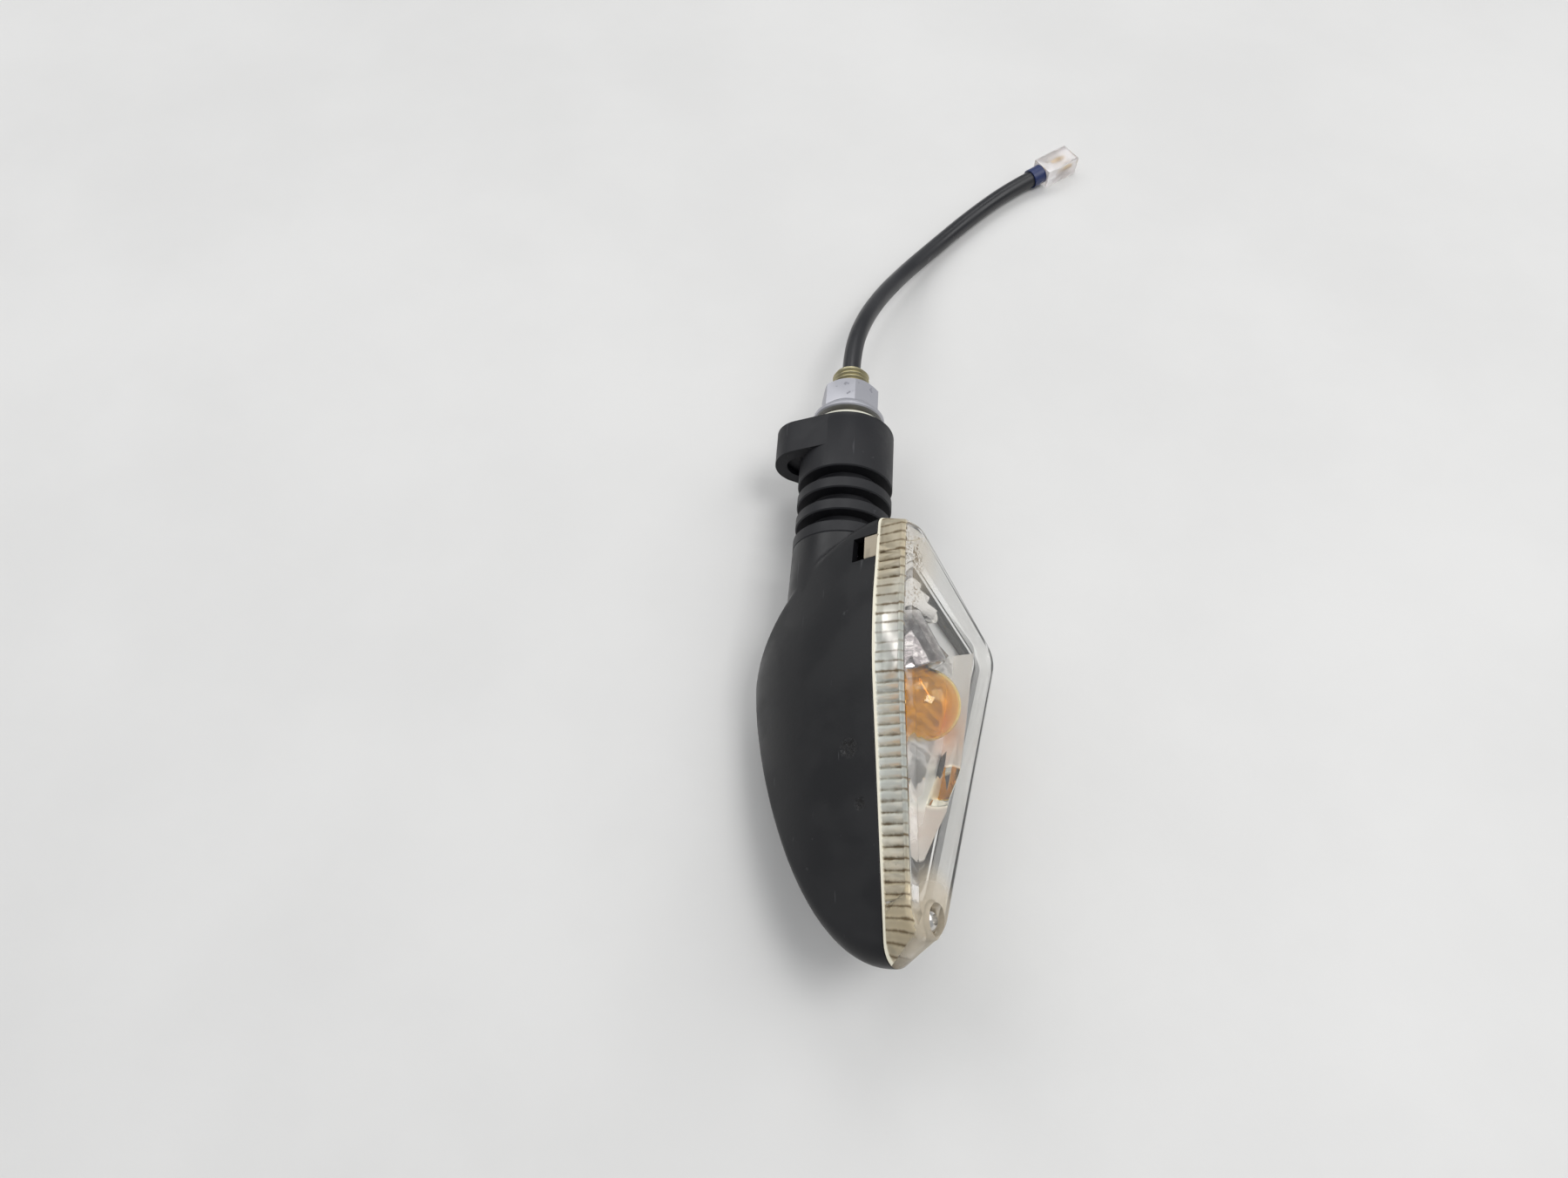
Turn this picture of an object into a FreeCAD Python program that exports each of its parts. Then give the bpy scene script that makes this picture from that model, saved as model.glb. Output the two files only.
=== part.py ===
"""Motorcycle turn signal on a flexible rubber stem, in millimetres.

Frame: +Z is up from the table that the lamp lies on, +Y runs along the stem towards the
threaded stud, and the lens faces +X and up. The origin is the middle of the washer's
outer face, which the motorcycle's bracket seats on.

Most of the lamp head is drawn in the lamp's own directions and then turned about the stem:
u is the way the lens looks, y runs along the stem and v is across the lens.
"""

import FreeCAD, Part
import math
import os

Vector = FreeCAD.Vector
os.makedirs("parts", exist_ok=True)

# ---- how the lamp lies -------------------------------------------------------------
LENS_TILT = 36.0  # degrees that the lens looks up from the table
REST_HEIGHT = 19.4  # the stem's axis above the table

# ---- stud, nut and washer ----------------------------------------------------------
STUD_R = 5.0
STUD_BORE_R = 2.9
STUD_TIP_Y = 19.3
STUD_CHAMFER = 1.0
STUD_HEAD_R = 9.0
STUD_HEAD_T = 2.5
STUD_DEPTH = 8.0  # how far the stud's shank goes into the stem
WASHER_R = 9.8
WASHER_T = 2.6
WASHER_PLAY = 0.25
NUT_GAP = 2.1  # from the washer to the nut as it lies
NUT_FLANGE_R = 9.5
NUT_FLANGE_T = 1.5
NUT_CONE_T = 2.0
NUT_HEX_ACROSS = 14.0
NUT_LENGTH = 10.5
THREAD_PLAY = 0.06

# ---- rubber stem -------------------------------------------------------------------
BOSS_R = 12.2
BOSS_LENGTH = 16.6
RIB_R = 12.1
GROOVE_R = 9.9
RING_PITCH = 6.5
RING_GROOVE = 3.3
RING_COUNT = 3
STEM_END_Y = -39.0
COLLAR_R = 12.4
STEM_BORE_R = 4.2
BOND_GAP = 0.05  # moulded rubber against the metal that it holds
BOSS_EDGE_R = 1.6
LUG_R = 7.5
LUG_SIDE = 11.1
LUG_LENGTH = 9.6
LUG_POCKET_R = 5.2
LUG_POCKET_DEPTH = 5.0

# ---- bush and nut that hold the head to the stem -----------------------------------
BUSH_R = 5.6
BUSH_BORE_R = 3.2
BUSH_FLANGE_R = 10.2
BUSH_FLANGE_T = 2.2
BUSH_PLAY = 0.1
NECK_WALL = 2.4
NECK_NUT_T = 2.6
NECK_NUT_ACROSS = 14.0

# ---- housing -----------------------------------------------------------------------
PARTING_U = 19.0  # the housing's open rim, in front of the stem's axis
BOWL_DEPTH = 38.5
BOWL_WALL = 2.0
BOWL_ROUNDNESS = 1.93
BOWL_FULLNESS = 0.78
APEX_SHIFT_Y = 16.0
APEX_LAG_Y = 2.7
APEX_SHIFT_V = 13.4
APEX_LAG_V = 1.83
NECK_START_R = 12.3
NECK_END_R = 13.6
NECK_LENGTH = 21.0
NECK_BORE_R = 10.6
# the rim's corners as (y, v, corner radius), in the parting plane
RIM = [
    (-39.9, 13.3, 3.0),
    (-70.5, 15.2, 120.0),
    (-141.5, 5.6, 5.0),
    (-137.5, -6.3, 12.0),
    (-57.0, -34.5, 7.0),
    (-39.2, 3.0, 9.0),
]
RIM_CENTRE_Y = -90.0
RIM_CENTRE_V = -8.6

# ---- lens --------------------------------------------------------------------------
LENS_TOP_U = 27.5
LENS_WALL = 1.8
LENS_FRONT_T = 2.0
LENS_EDGE_R = 1.2
# the lens front's corners as (y, v, corner radius)
FRONT = [
    (-44.2, 14.9, 2.5),
    (-75.0, 15.1, 120.0),
    (-135.0, 9.8, 6.0),
    (-134.0, -4.0, 8.0),
    (-60.5, -30.0, 5.0),
    (-42.2, 7.0, 7.0),
]
SEAL_GAP = 0.3
SKIRT_INSET = 3.1
SKIRT_T = 0.9
SKIRT_DEPTH = 1.2
GASKET_T = 1.0
GASKET_MARGIN = 0.1
LEDGE_T = 1.4
TAB_Y = -48.2
TAB_WIDTH = 5.8
TAB_LENGTH = 3.2
TAB_T = 1.5
NOTCH_WIDTH = 6.4
NOTCH_DEPTH = 6.3

# ---- lens screw --------------------------------------------------------------------
SCREW_Y = -130.4
SCREW_V = -0.5
SCREW_R = 2.0
SCREW_HEAD_R = 2.75
SCREW_HEAD_T = 1.9
SCREW_LENGTH = 17.0
SCREW_RECESS_R = 1.1
SCREW_SEAT_U = 25.2
SCREW_POCKET_R = 3.3
SCREW_POST_R = 4.0
SCREW_HOLE_R = 2.3
SCREW_PLAY = 0.05
INSERT_R = 2.9
INSERT_LENGTH = 8.0
POST_TOP_U = 16.6

# ---- reflector ---------------------------------------------------------------------
REFLECTOR_INSET = 4.4
REFLECTOR_T = 1.2
REFLECTOR_TOP_U = 16.9
DISH_DEPTH = 13.5
# the dish's mouth as (y, v, corner radius)
DISH = [
    (-55.0, 9.0, 4.0),
    (-72.0, 9.9, 60.0),
    (-113.0, 4.9, 4.0),
    (-111.5, -7.5, 5.0),
    (-61.0, -27.3, 5.0),
    (-56.5, -9.5, 6.0),
]
DISH_CENTRE_Y = -82.0
DISH_CENTRE_V = -8.0
FIXING_PLACES = [(-54.1, -13.0), (-119.0, 0.2)]  # the reflector's screws, as (y, v)
FIXING_POST_R = 2.6
FIXING_R = 1.25
FIXING_HEAD_R = 2.0
FIXING_HEAD_T = 1.5
FIXING_LENGTH = 8.0
FIXING_HOLE_R = 1.5
FIXING_PLAY = 0.02
TIP_POST_DEPTH = 19.0
SIDE_POST_DEPTH = 10.0

# ---- bulb and socket, drawn along their own axis from the bulb's contact ----------
GLOBE_CENTRE = (15.8, -77.6, -12.0)  # as (u, y, v)
BULB_LEAN = (-8.0, 27.0, 14.0)  # from the globe towards the base, as (u, y, v)
GLOBE_R = 8.8
GLOBE_HEIGHT = 28.5
GLASS_WALL = 0.7
GLASS_NECK_R = 5.6
BASE_R = 7.5
BASE_BOTTOM = 1.0
BASE_TOP = 14.5
CONTACT_R = 2.6
PIN_R = 1.0
PIN_REACH = 8.2
PIN_HEIGHT = 6.0
PIN_ANGLE = 150.0
SOCKET_PLAY = 0.15
SOCKET_WALL = 0.6
SOCKET_R = BASE_R + SOCKET_PLAY + SOCKET_WALL
SOCKET_TOP = 13.5
SOCKET_BOTTOM = -5.6
SOCKET_ROOM = 0.15  # between the socket and the housing's ribs
SLOT_WIDTH = 2.6
PUSH_TRAVEL = 2.0
TURN_RANGE = 20.0
PLUNGER_R = 5.6
PLUNGER_T = 1.0
PLUNGER_STEM_R = 1.2
PLUNGER_END = -6.6
CONTACT_GAP = 0.05
INSULATOR_T = 1.2
SPRING_R = 3.4
SPRING_WIRE_R = 0.35
SPRING_TURNS = 3
SPRING_STEPS = 12  # arcs in each turn of the coil
SPRING_END_PLAY = 0.05
EARTH_TAB_T = 0.8
EARTH_TAB_WIDTH = 3.2
EARTH_TAB_HEIGHT = 6.0
EARTH_TAB_SET_UP = 0.2
EARTH_TAB_ANGLE = 225.0
COLLAR_BOTTOM = 8.6
COLLAR_T = 1.5

# ---- cable and connector -----------------------------------------------------------
CABLE_R = 2.5
# the cable's route from the stud's tip to the connector, as (x, y, z)
CABLE_ROUTE = [
    (0.0, 19.3, 0.0),
    (0.0, 28.0, 0.0),
    (2.6, 41.0, -2.2),
    (7.6, 55.7, -7.3),
    (14.6, 70.9, -12.9),
    (23.6, 85.1, -16.2),
    (33.6, 98.0, -16.8),
    (43.6, 109.0, -16.7),
    (50.6, 115.4, -16.5),
    (55.6, 119.3, -16.3),
]
CABLE_INNER_END_Y = -46.4
SLEEVE_R = 3.0
SLEEVE_LENGTH = 4.4
PLUG_LENGTH = 12.4
PLUG_WIDTH = 7.2
PLUG_HEIGHT = 6.2
PLUG_WALL = 1.0
PLUG_FLOOR = 4.0
PLUG_BACK_GAP = 0.12
TERMINAL_R = 0.75
TERMINAL_SPACING = 3.2
TERMINAL_LENGTH = 8.0
LEAD_R = 0.65
LEAD_SIDE = 1.1
LIVE_SIDE = 3.9
LIVE_RISE = 1.6
EARTH_START = (-1.1, -0.9)  # the earth lead's place on the cable's end
EARTH_HEIGHT = -3.0
EARTH_BEND = 2.6  # how far out from its tab the earth lead bends


# ---- helpers -----------------------------------------------------------------------
def lamp_point(u, y, v):
    """A point in the lamp's own directions, before it is turned about the stem."""
    return Vector(u, y, v)


def as_it_lies(shape):
    """The shape turned about the stem, so that the lens looks to the side and up."""
    turned = shape.copy()
    turned.rotate(Vector(0, 0, 0), Vector(0, 1, 0), -LENS_TILT)
    return turned


def tube(radius, bore, start, direction, length):
    """A round tube, or a rod where the bore is 0."""
    outer = Part.makeCylinder(radius, length, start, direction)
    if bore <= 0:
        return outer
    return outer.cut(Part.makeCylinder(bore, length, start, direction))


def along_stem(radius, bore, y_far, y_near):
    """A tube around the stem's axis between two places on it."""
    return tube(radius, bore, Vector(0, y_near, 0), Vector(0, 1, 0), y_far - y_near)


def along_u(radius, bore, y, v, u_low, u_high):
    """A tube along the way the lens looks."""
    return tube(radius, bore, lamp_point(u_low, y, v), Vector(1, 0, 0), u_high - u_low)


def hexagon(across, start, direction, length):
    """A six-sided prism around the stem's axis."""
    radius = across / math.sqrt(3.0)
    corners = []
    for i in range(7):
        angle = math.radians(60.0 * i + 30.0)
        corners.append(Vector(radius * math.cos(angle), start.y, radius * math.sin(angle)))
    face = Part.Face(Part.makePolygon(corners))
    return face.extrude(direction * length)


def turned_about_stem(profile):
    """A solid of revolution about the stem from (y, radius) points."""
    points = [Vector(radius, y, 0) for y, radius in profile]
    points.append(points[0])
    face = Part.Face(Part.makePolygon(points))
    return face.revolve(Vector(0, 0, 0), Vector(0, 1, 0), 360)


def directions_at(corners, i):
    """A corner's place and the unit vectors to the corners before and after it."""
    here = Vector(0, corners[i][0], corners[i][1])
    before = Vector(0, corners[i - 1][0], corners[i - 1][1])
    after_corner = corners[(i + 1) % len(corners)]
    after = Vector(0, after_corner[0], after_corner[1])
    return here, (before - here).normalize(), (after - here).normalize()


def inset(corners, distance):
    """The corners moved inwards from every side by a distance."""
    moved = []
    for i, (_, _, radius) in enumerate(corners):
        here, back, ahead = directions_at(corners, i)
        half = back.getAngle(ahead) / 2.0
        middle = (back + ahead).normalize()
        place = here + middle * (distance / math.sin(half))
        moved.append((place.y, place.z, max(radius - distance, 0.6)))
    return moved


def outline(corners, u):
    """A closed wire of straight sides and tangent arcs at one height u."""
    arcs = []
    for i, (_, _, radius) in enumerate(corners):
        here, back, ahead = directions_at(corners, i)
        half = back.getAngle(ahead) / 2.0
        reach = radius / math.tan(half)
        middle = (back + ahead).normalize()
        centre = here + middle * (radius / math.sin(half))
        crown = centre - middle * radius
        arcs.append((here + back * reach, crown, here + ahead * reach))
    lift = Vector(u, 0, 0)
    edges = []
    for i, (start, crown, end) in enumerate(arcs):
        edges.append(Part.Arc(start + lift, crown + lift, end + lift).toShape())
        following = arcs[(i + 1) % len(arcs)][0]
        edges.append(Part.LineSegment(end + lift, following + lift).toShape())
    return Part.Wire(edges)


def slab(corners, u_low, u_high):
    """A flat plate with this outline."""
    return Part.Face(outline(corners, u_low)).extrude(Vector(u_high - u_low, 0, 0))


def ring(corners, outer_inset, width, u_low, u_high):
    """A band that follows the outline, inset from it."""
    outer = slab(inset(corners, outer_inset), u_low, u_high)
    return outer.cut(slab(inset(corners, outer_inset + width), u_low, u_high))


def scaled(corners, centre_y, centre_v, scale, shift_y, shift_v):
    """The corners shrunk about a centre, which then moves."""
    moved = []
    for y, v, radius in corners:
        new_y = centre_y + shift_y + (y - centre_y) * scale
        new_v = centre_v + shift_v + (v - centre_v) * scale
        moved.append((new_y, new_v, radius * scale))
    return moved


LEVELS = (0.0, 0.12, 0.26, 0.42, 0.58, 0.72, 0.84, 0.93, 0.985)


def bowl(corners, depth):
    """A closed bowl that narrows from the parting plane to a rounded back."""
    wires = []
    for level in LEVELS:
        scale = (1.0 - level**BOWL_ROUNDNESS) ** BOWL_FULLNESS
        shift_y = APEX_SHIFT_Y * level**APEX_LAG_Y
        shift_v = APEX_SHIFT_V * level**APEX_LAG_V
        at_level = scaled(corners, RIM_CENTRE_Y, RIM_CENTRE_V, scale, shift_y, shift_v)
        wires.append(outline(at_level, PARTING_U - depth * level))
    return Part.makeLoft(wires, True, False)


def dish(corners, top, depth):
    """A closed shallow dish that narrows evenly from its mouth."""
    wires = []
    for level in LEVELS:
        scale = math.sqrt(1.0 - level**2)
        at_level = scaled(corners, DISH_CENTRE_Y, DISH_CENTRE_V, scale, 0.0, 0.0)
        wires.append(outline(at_level, top - depth * level))
    return Part.makeLoft(wires, True, False)


def bulb_placement():
    """Where the bulb's contact lies and which way its globe points."""
    to_base = Vector(*BULB_LEAN).normalize()
    contact = Vector(*GLOBE_CENTRE) + to_base * GLOBE_HEIGHT
    rotation = FreeCAD.Rotation(Vector(0, 0, 1), to_base * -1.0)
    return FreeCAD.Placement(contact, rotation)


def on_bulb(shape):
    """A shape drawn along the bulb's axis, moved to its place in the lamp."""
    placed = shape.copy()
    placed.Placement = bulb_placement().multiply(placed.Placement)
    return placed


def upright(radius, bore, low, high):
    """A tube along the bulb's axis."""
    return tube(radius, bore, Vector(0, 0, low), Vector(0, 0, 1), high - low)


def bent_path(points):
    """Straight runs joined by tangent arcs, and the arcs' radii."""
    places = [Vector(*p) for p in points]
    edges = []
    radii = []
    last = places[0]
    for before, here, after in zip(places, places[1:], places[2:]):
        back = (before - here).normalize()
        ahead = (after - here).normalize()
        half_turn = (math.pi - back.getAngle(ahead)) / 2.0
        reach = 0.45 * min((before - here).Length, (after - here).Length)
        radius = reach / math.tan(half_turn)
        middle = (back + ahead).normalize()
        crown = here + middle * (radius / math.cos(half_turn) - radius)
        start = here + back * reach
        end = here + ahead * reach
        edges.append(Part.LineSegment(last, start).toShape())
        edges.append(Part.Arc(start, crown, end).toShape())
        radii.append(radius)
        last = end
    edges.append(Part.LineSegment(last, places[-1]).toShape())
    return Part.Wire(edges), radii


def swept(points, radius):
    """A round cord along the path, with the path's length and arc radii."""
    path, radii = bent_path(points)
    start = Vector(*points[0])
    heading = (Vector(*points[1]) - start).normalize()
    section = Part.Wire([Part.makeCircle(radius, start, heading)])
    solid = path.makePipeShell([section], True, False, 1)
    return solid, path.Length, radii


# ---- stud, washer and nut ----------------------------------------------------------
def mounting_stud():
    """The hollow threaded stud, with the disc that the rubber grips."""
    head_y = -WASHER_T - STUD_DEPTH
    shank = along_stem(STUD_R, 0, STUD_TIP_Y, head_y)
    tip = [e for e in shank.Edges if abs(e.BoundBox.YMin - STUD_TIP_Y) < 1e-6 and e.Length > 10]
    shank = shank.makeChamfer(STUD_CHAMFER, tip)
    disc = along_stem(STUD_HEAD_R, 0, head_y, head_y - STUD_HEAD_T)
    bore = along_stem(STUD_BORE_R, 0, STUD_TIP_Y, head_y - STUD_HEAD_T)
    return shank.fuse(disc).removeSplitter().cut(bore)


def seat_washer():
    """The pale washer that the bracket seats on."""
    return along_stem(WASHER_R, STUD_R + WASHER_PLAY, 0, -WASHER_T)


def flange_nut():
    """The nut with its flange, backed off from the washer as it lies."""
    cone_end = NUT_GAP + NUT_FLANGE_T + NUT_CONE_T
    skirt = turned_about_stem(
        [
            (NUT_GAP, 0),
            (NUT_GAP, NUT_FLANGE_R),
            (NUT_GAP + NUT_FLANGE_T, NUT_FLANGE_R),
            (cone_end, NUT_HEX_ACROSS / 2 + 0.3),
            (cone_end, 0),
        ]
    )
    hex_length = NUT_GAP + NUT_LENGTH - cone_end
    hexed = hexagon(NUT_HEX_ACROSS, Vector(0, cone_end, 0), Vector(0, 1, 0), hex_length)
    trim_r = NUT_HEX_ACROSS / math.sqrt(3.0)
    trim = turned_about_stem(
        [
            (cone_end, 0),
            (cone_end, trim_r + 0.2),
            (cone_end + hex_length - 0.9, trim_r + 0.2),
            (cone_end + hex_length, trim_r - 0.9),
            (cone_end + hex_length, 0),
        ]
    )
    body = skirt.fuse(hexed.common(trim))
    hole = along_stem(STUD_R + THREAD_PLAY, 0, NUT_GAP + NUT_LENGTH + 1, NUT_GAP - 1)
    return body.cut(hole)


# ---- rubber stem -------------------------------------------------------------------
def stem_profile():
    """The stem's outside from the boss to the collar, as (y, radius) points."""
    y = -WASHER_T - BOSS_LENGTH
    profile = [(-WASHER_T, 0), (-WASHER_T, BOSS_R), (y, BOSS_R)]
    for i in range(RING_COUNT):
        far = y - RING_GROOVE
        profile.append((y, GROOVE_R))
        profile.append((far, GROOVE_R))
        rib_r = COLLAR_R if i == RING_COUNT - 1 else RIB_R
        profile.append((far, rib_r))
        y -= RING_PITCH
        if i < RING_COUNT - 1:
            profile.append((y, rib_r))
    profile.append((STEM_END_Y, COLLAR_R))
    profile.append((STEM_END_Y, 0))
    return profile


def stem_lug():
    """The boss's lobe, which keys the stem in the bracket's hole, with its moulded pocket."""
    start = Vector(0, -WASHER_T, 0)
    away = Vector(-LUG_SIDE, 0, 0)
    back = Vector(0, -1, 0)
    lobe = Part.makeCylinder(LUG_R, LUG_LENGTH, start + away, back)
    lean = math.acos((BOSS_R - LUG_R) / LUG_SIDE)
    touch = Vector(-math.cos(lean), 0, math.sin(lean))
    under = Vector(touch.x, 0, -touch.z)
    corners = [start + touch * BOSS_R, start + away + touch * LUG_R]
    corners.append(start + away + under * LUG_R)
    corners.append(start + under * BOSS_R)
    corners.append(corners[0])
    bridge = Part.Face(Part.makePolygon(corners)).extrude(back * LUG_LENGTH)
    low = start + away + back * (LUG_LENGTH - LUG_POCKET_DEPTH)
    pocket = Part.makeCylinder(LUG_POCKET_R, LUG_POCKET_DEPTH + 1, low, back)
    return lobe.fuse(bridge).cut(pocket)


def rubber_stem():
    """The ribbed rubber stem, moulded round the stud's disc and the bush's flange."""
    head_y = -WASHER_T - STUD_DEPTH
    body = turned_about_stem(stem_profile()).fuse(stem_lug()).removeSplitter()
    rim = [e for e in body.Edges if e.BoundBox.YMin > -WASHER_T - 1e-6]
    body = body.makeFillet(BOSS_EDGE_R, rim)
    shank = along_stem(STUD_R + BOND_GAP, 0, 0, head_y)
    disc = along_stem(STUD_HEAD_R + BOND_GAP, 0, head_y + BOND_GAP, head_y - STUD_HEAD_T - BOND_GAP)
    bore = along_stem(STEM_BORE_R, 0, head_y, STEM_END_Y - 1)
    flange_top = STEM_END_Y + BUSH_FLANGE_T + BOND_GAP
    seat = along_stem(BUSH_FLANGE_R + BOND_GAP, 0, flange_top, STEM_END_Y - 1)
    return body.cut(shank).cut(disc).cut(bore).cut(seat)


def stem_bush():
    """The hollow bush that the rubber grips, passing through the housing's neck."""
    flange = along_stem(BUSH_FLANGE_R, 0, STEM_END_Y + BUSH_FLANGE_T, STEM_END_Y)
    end_y = STEM_END_Y - NECK_WALL - NECK_NUT_T - 0.6
    shank = along_stem(BUSH_R, 0, STEM_END_Y, end_y)
    bore = along_stem(BUSH_BORE_R, 0, STEM_END_Y + BUSH_FLANGE_T, end_y)
    return flange.fuse(shank).removeSplitter().cut(bore)


def stem_bush_nut():
    """The thin nut that pulls the neck onto the bush, inside the neck."""
    start = Vector(0, STEM_END_Y - NECK_WALL, 0)
    blank = hexagon(NECK_NUT_ACROSS, start, Vector(0, -1, 0), NECK_NUT_T)
    return blank.cut(along_stem(BUSH_R, 0, start.y + 1, start.y - NECK_NUT_T - 1))


# ---- housing -----------------------------------------------------------------------
def neck_outside():
    """The round neck that carries the bowl on the stem."""
    end_y = STEM_END_Y - NECK_LENGTH
    points = [(STEM_END_Y, 0), (STEM_END_Y, NECK_START_R), (end_y, NECK_END_R), (end_y, 0)]
    return turned_about_stem(points)


def post_depths():
    """How deep each of the reflector's posts runs below its top."""
    return [SIDE_POST_DEPTH, TIP_POST_DEPTH]


def housing_posts():
    """The posts for the lens screw and for the reflector's screws."""
    posts = along_u(SCREW_POST_R, 0, SCREW_Y, SCREW_V, PARTING_U - BOWL_DEPTH, POST_TOP_U)
    for (y, v), depth in zip(FIXING_PLACES, post_depths()):
        top = fixing_seat_u()
        posts = posts.fuse(along_u(FIXING_POST_R, 0, y, v, top - depth, top))
    return posts


def fixing_seat_u():
    """The height at which the reflector's plate rests on its posts."""
    return REFLECTOR_TOP_U - REFLECTOR_T


def ledge_top_u():
    """The height of the ledge under the gasket."""
    return PARTING_U - SKIRT_DEPTH - GASKET_T


def housing():
    """The moulded bowl and neck, with its posts, ledge and tab notch."""
    shell = bowl(RIM, BOWL_DEPTH)
    outside = shell.fuse(neck_outside())
    inside = bowl(inset(RIM, BOWL_WALL), BOWL_DEPTH - BOWL_WALL)
    end_y = STEM_END_Y - NECK_LENGTH
    neck_bore = along_stem(NECK_BORE_R, 0, STEM_END_Y - NECK_WALL, end_y)
    body = outside.cut(inside.fuse(neck_bore))
    ledge = ring(RIM, SKIRT_INSET - 1.0, SKIRT_T + 1.4, ledge_top_u() - LEDGE_T, ledge_top_u())
    posts = housing_posts().common(outside)
    body = body.fuse(ledge.common(outside)).fuse(posts)
    hole = along_stem(BUSH_R + BUSH_PLAY, 0, STEM_END_Y + 1, STEM_END_Y - NECK_WALL - 1)
    body = body.cut(hole)
    body = body.cut(along_u(INSERT_R, 0, SCREW_Y, SCREW_V, POST_TOP_U - INSERT_LENGTH, POST_TOP_U + 1))
    depth = SCREW_SEAT_U - SCREW_LENGTH - 1.0
    body = body.cut(along_u(SCREW_R + 0.4, 0, SCREW_Y, SCREW_V, depth, POST_TOP_U + 1))
    socket_room = SOCKET_R + SOCKET_ROOM
    body = body.cut(on_bulb(upright(socket_room, 0, SOCKET_BOTTOM - SOCKET_ROOM, SOCKET_TOP)))
    for y, v in FIXING_PLACES:
        low = fixing_seat_u() - FIXING_LENGTH + REFLECTOR_T - 0.5
        body = body.cut(along_u(FIXING_R + FIXING_PLAY, 0, y, v, low, fixing_seat_u() + 1))
    notch = Part.makeBox(
        NOTCH_DEPTH + 1, NOTCH_WIDTH, 8, Vector(PARTING_U - NOTCH_DEPTH, TAB_Y - NOTCH_WIDTH / 2, 9.5)
    )
    return body.cut(notch)


def screw_insert():
    """The brass insert that the lens screw bites into."""
    low = POST_TOP_U - INSERT_LENGTH
    return along_u(INSERT_R, SCREW_R + SCREW_PLAY, SCREW_Y, SCREW_V, low, POST_TOP_U)


def lens_gasket():
    """The soft seal on the ledge, under the lens's skirt."""
    top = ledge_top_u() + GASKET_T
    seal = ring(RIM, SKIRT_INSET - GASKET_MARGIN, SKIRT_T + 2 * GASKET_MARGIN, ledge_top_u(), top)
    return seal.cut(along_u(SCREW_POST_R + SEAL_GAP, 0, SCREW_Y, SCREW_V, ledge_top_u() - 1, top + 1))


# ---- lens and its screw ------------------------------------------------------------
def lens_shell(corners_low, corners_high, u_low, u_high):
    """A closed block between the rim's outline and the front's outline."""
    return Part.makeLoft([outline(corners_low, u_low), outline(corners_high, u_high)], True, False)


def lens():
    """The clear lens with its skirt, tab and screw post."""
    low = PARTING_U + SEAL_GAP
    block = lens_shell(RIM, FRONT, low, LENS_TOP_U)
    front = [e for e in block.Edges if e.BoundBox.XMin > LENS_TOP_U - 1e-4]
    block = block.makeFillet(LENS_EDGE_R, front)
    share = (LENS_TOP_U - LENS_FRONT_T - low) / (LENS_TOP_U - low)
    inner_front = []
    for (y0, v0, r0), (y1, v1, r1) in zip(inset(RIM, LENS_WALL), inset(FRONT, LENS_WALL)):
        inner_front.append((y0 + (y1 - y0) * share, v0 + (v1 - v0) * share, r0 + (r1 - r0) * share))
    hollow = lens_shell(inset(RIM, LENS_WALL), inner_front, low, LENS_TOP_U - LENS_FRONT_T)
    post = along_u(SCREW_POST_R, 0, SCREW_Y, SCREW_V, POST_TOP_U + SEAL_GAP, LENS_TOP_U)
    inside_rim = slab(inset(RIM, BOWL_WALL + SEAL_GAP), POST_TOP_U, low)
    body = block.cut(hollow)
    body = body.fuse(post.common(block.fuse(inside_rim)))
    shoulder = ring(RIM, LENS_WALL - 0.6, SKIRT_INSET + SKIRT_T - LENS_WALL + 0.6, low, low + 1.0)
    skirt = ring(RIM, SKIRT_INSET, SKIRT_T, PARTING_U - SKIRT_DEPTH + 0.1, low)
    body = body.fuse(shoulder).fuse(skirt)
    tab = Part.makeBox(
        TAB_LENGTH + 1.5, TAB_WIDTH, TAB_T, Vector(PARTING_U - TAB_LENGTH, TAB_Y - TAB_WIDTH / 2, 12.2)
    )
    body = body.fuse(tab)
    body = body.cut(along_u(SCREW_POCKET_R, 0, SCREW_Y, SCREW_V, SCREW_SEAT_U, LENS_TOP_U + 1))
    body = body.cut(along_u(SCREW_HOLE_R, 0, SCREW_Y, SCREW_V, POST_TOP_U, LENS_TOP_U))
    return body.removeSplitter()


def lens_screw():
    """The domed screw that holds the lens, with its cross recess left as a round socket."""
    seat = SCREW_SEAT_U + 0.02
    shank = along_u(SCREW_R, 0, SCREW_Y, SCREW_V, seat - SCREW_LENGTH, seat)
    dome_r = (SCREW_HEAD_R**2 + SCREW_HEAD_T**2) / (2 * SCREW_HEAD_T)
    centre = lamp_point(seat + SCREW_HEAD_T - dome_r, SCREW_Y, SCREW_V)
    blank = along_u(SCREW_HEAD_R, 0, SCREW_Y, SCREW_V, seat, seat + SCREW_HEAD_T)
    head = Part.makeSphere(dome_r, centre).common(blank)
    recess = along_u(SCREW_RECESS_R, 0, SCREW_Y, SCREW_V, seat + 0.7, seat + 5)
    return shank.fuse(head).cut(recess)


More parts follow.
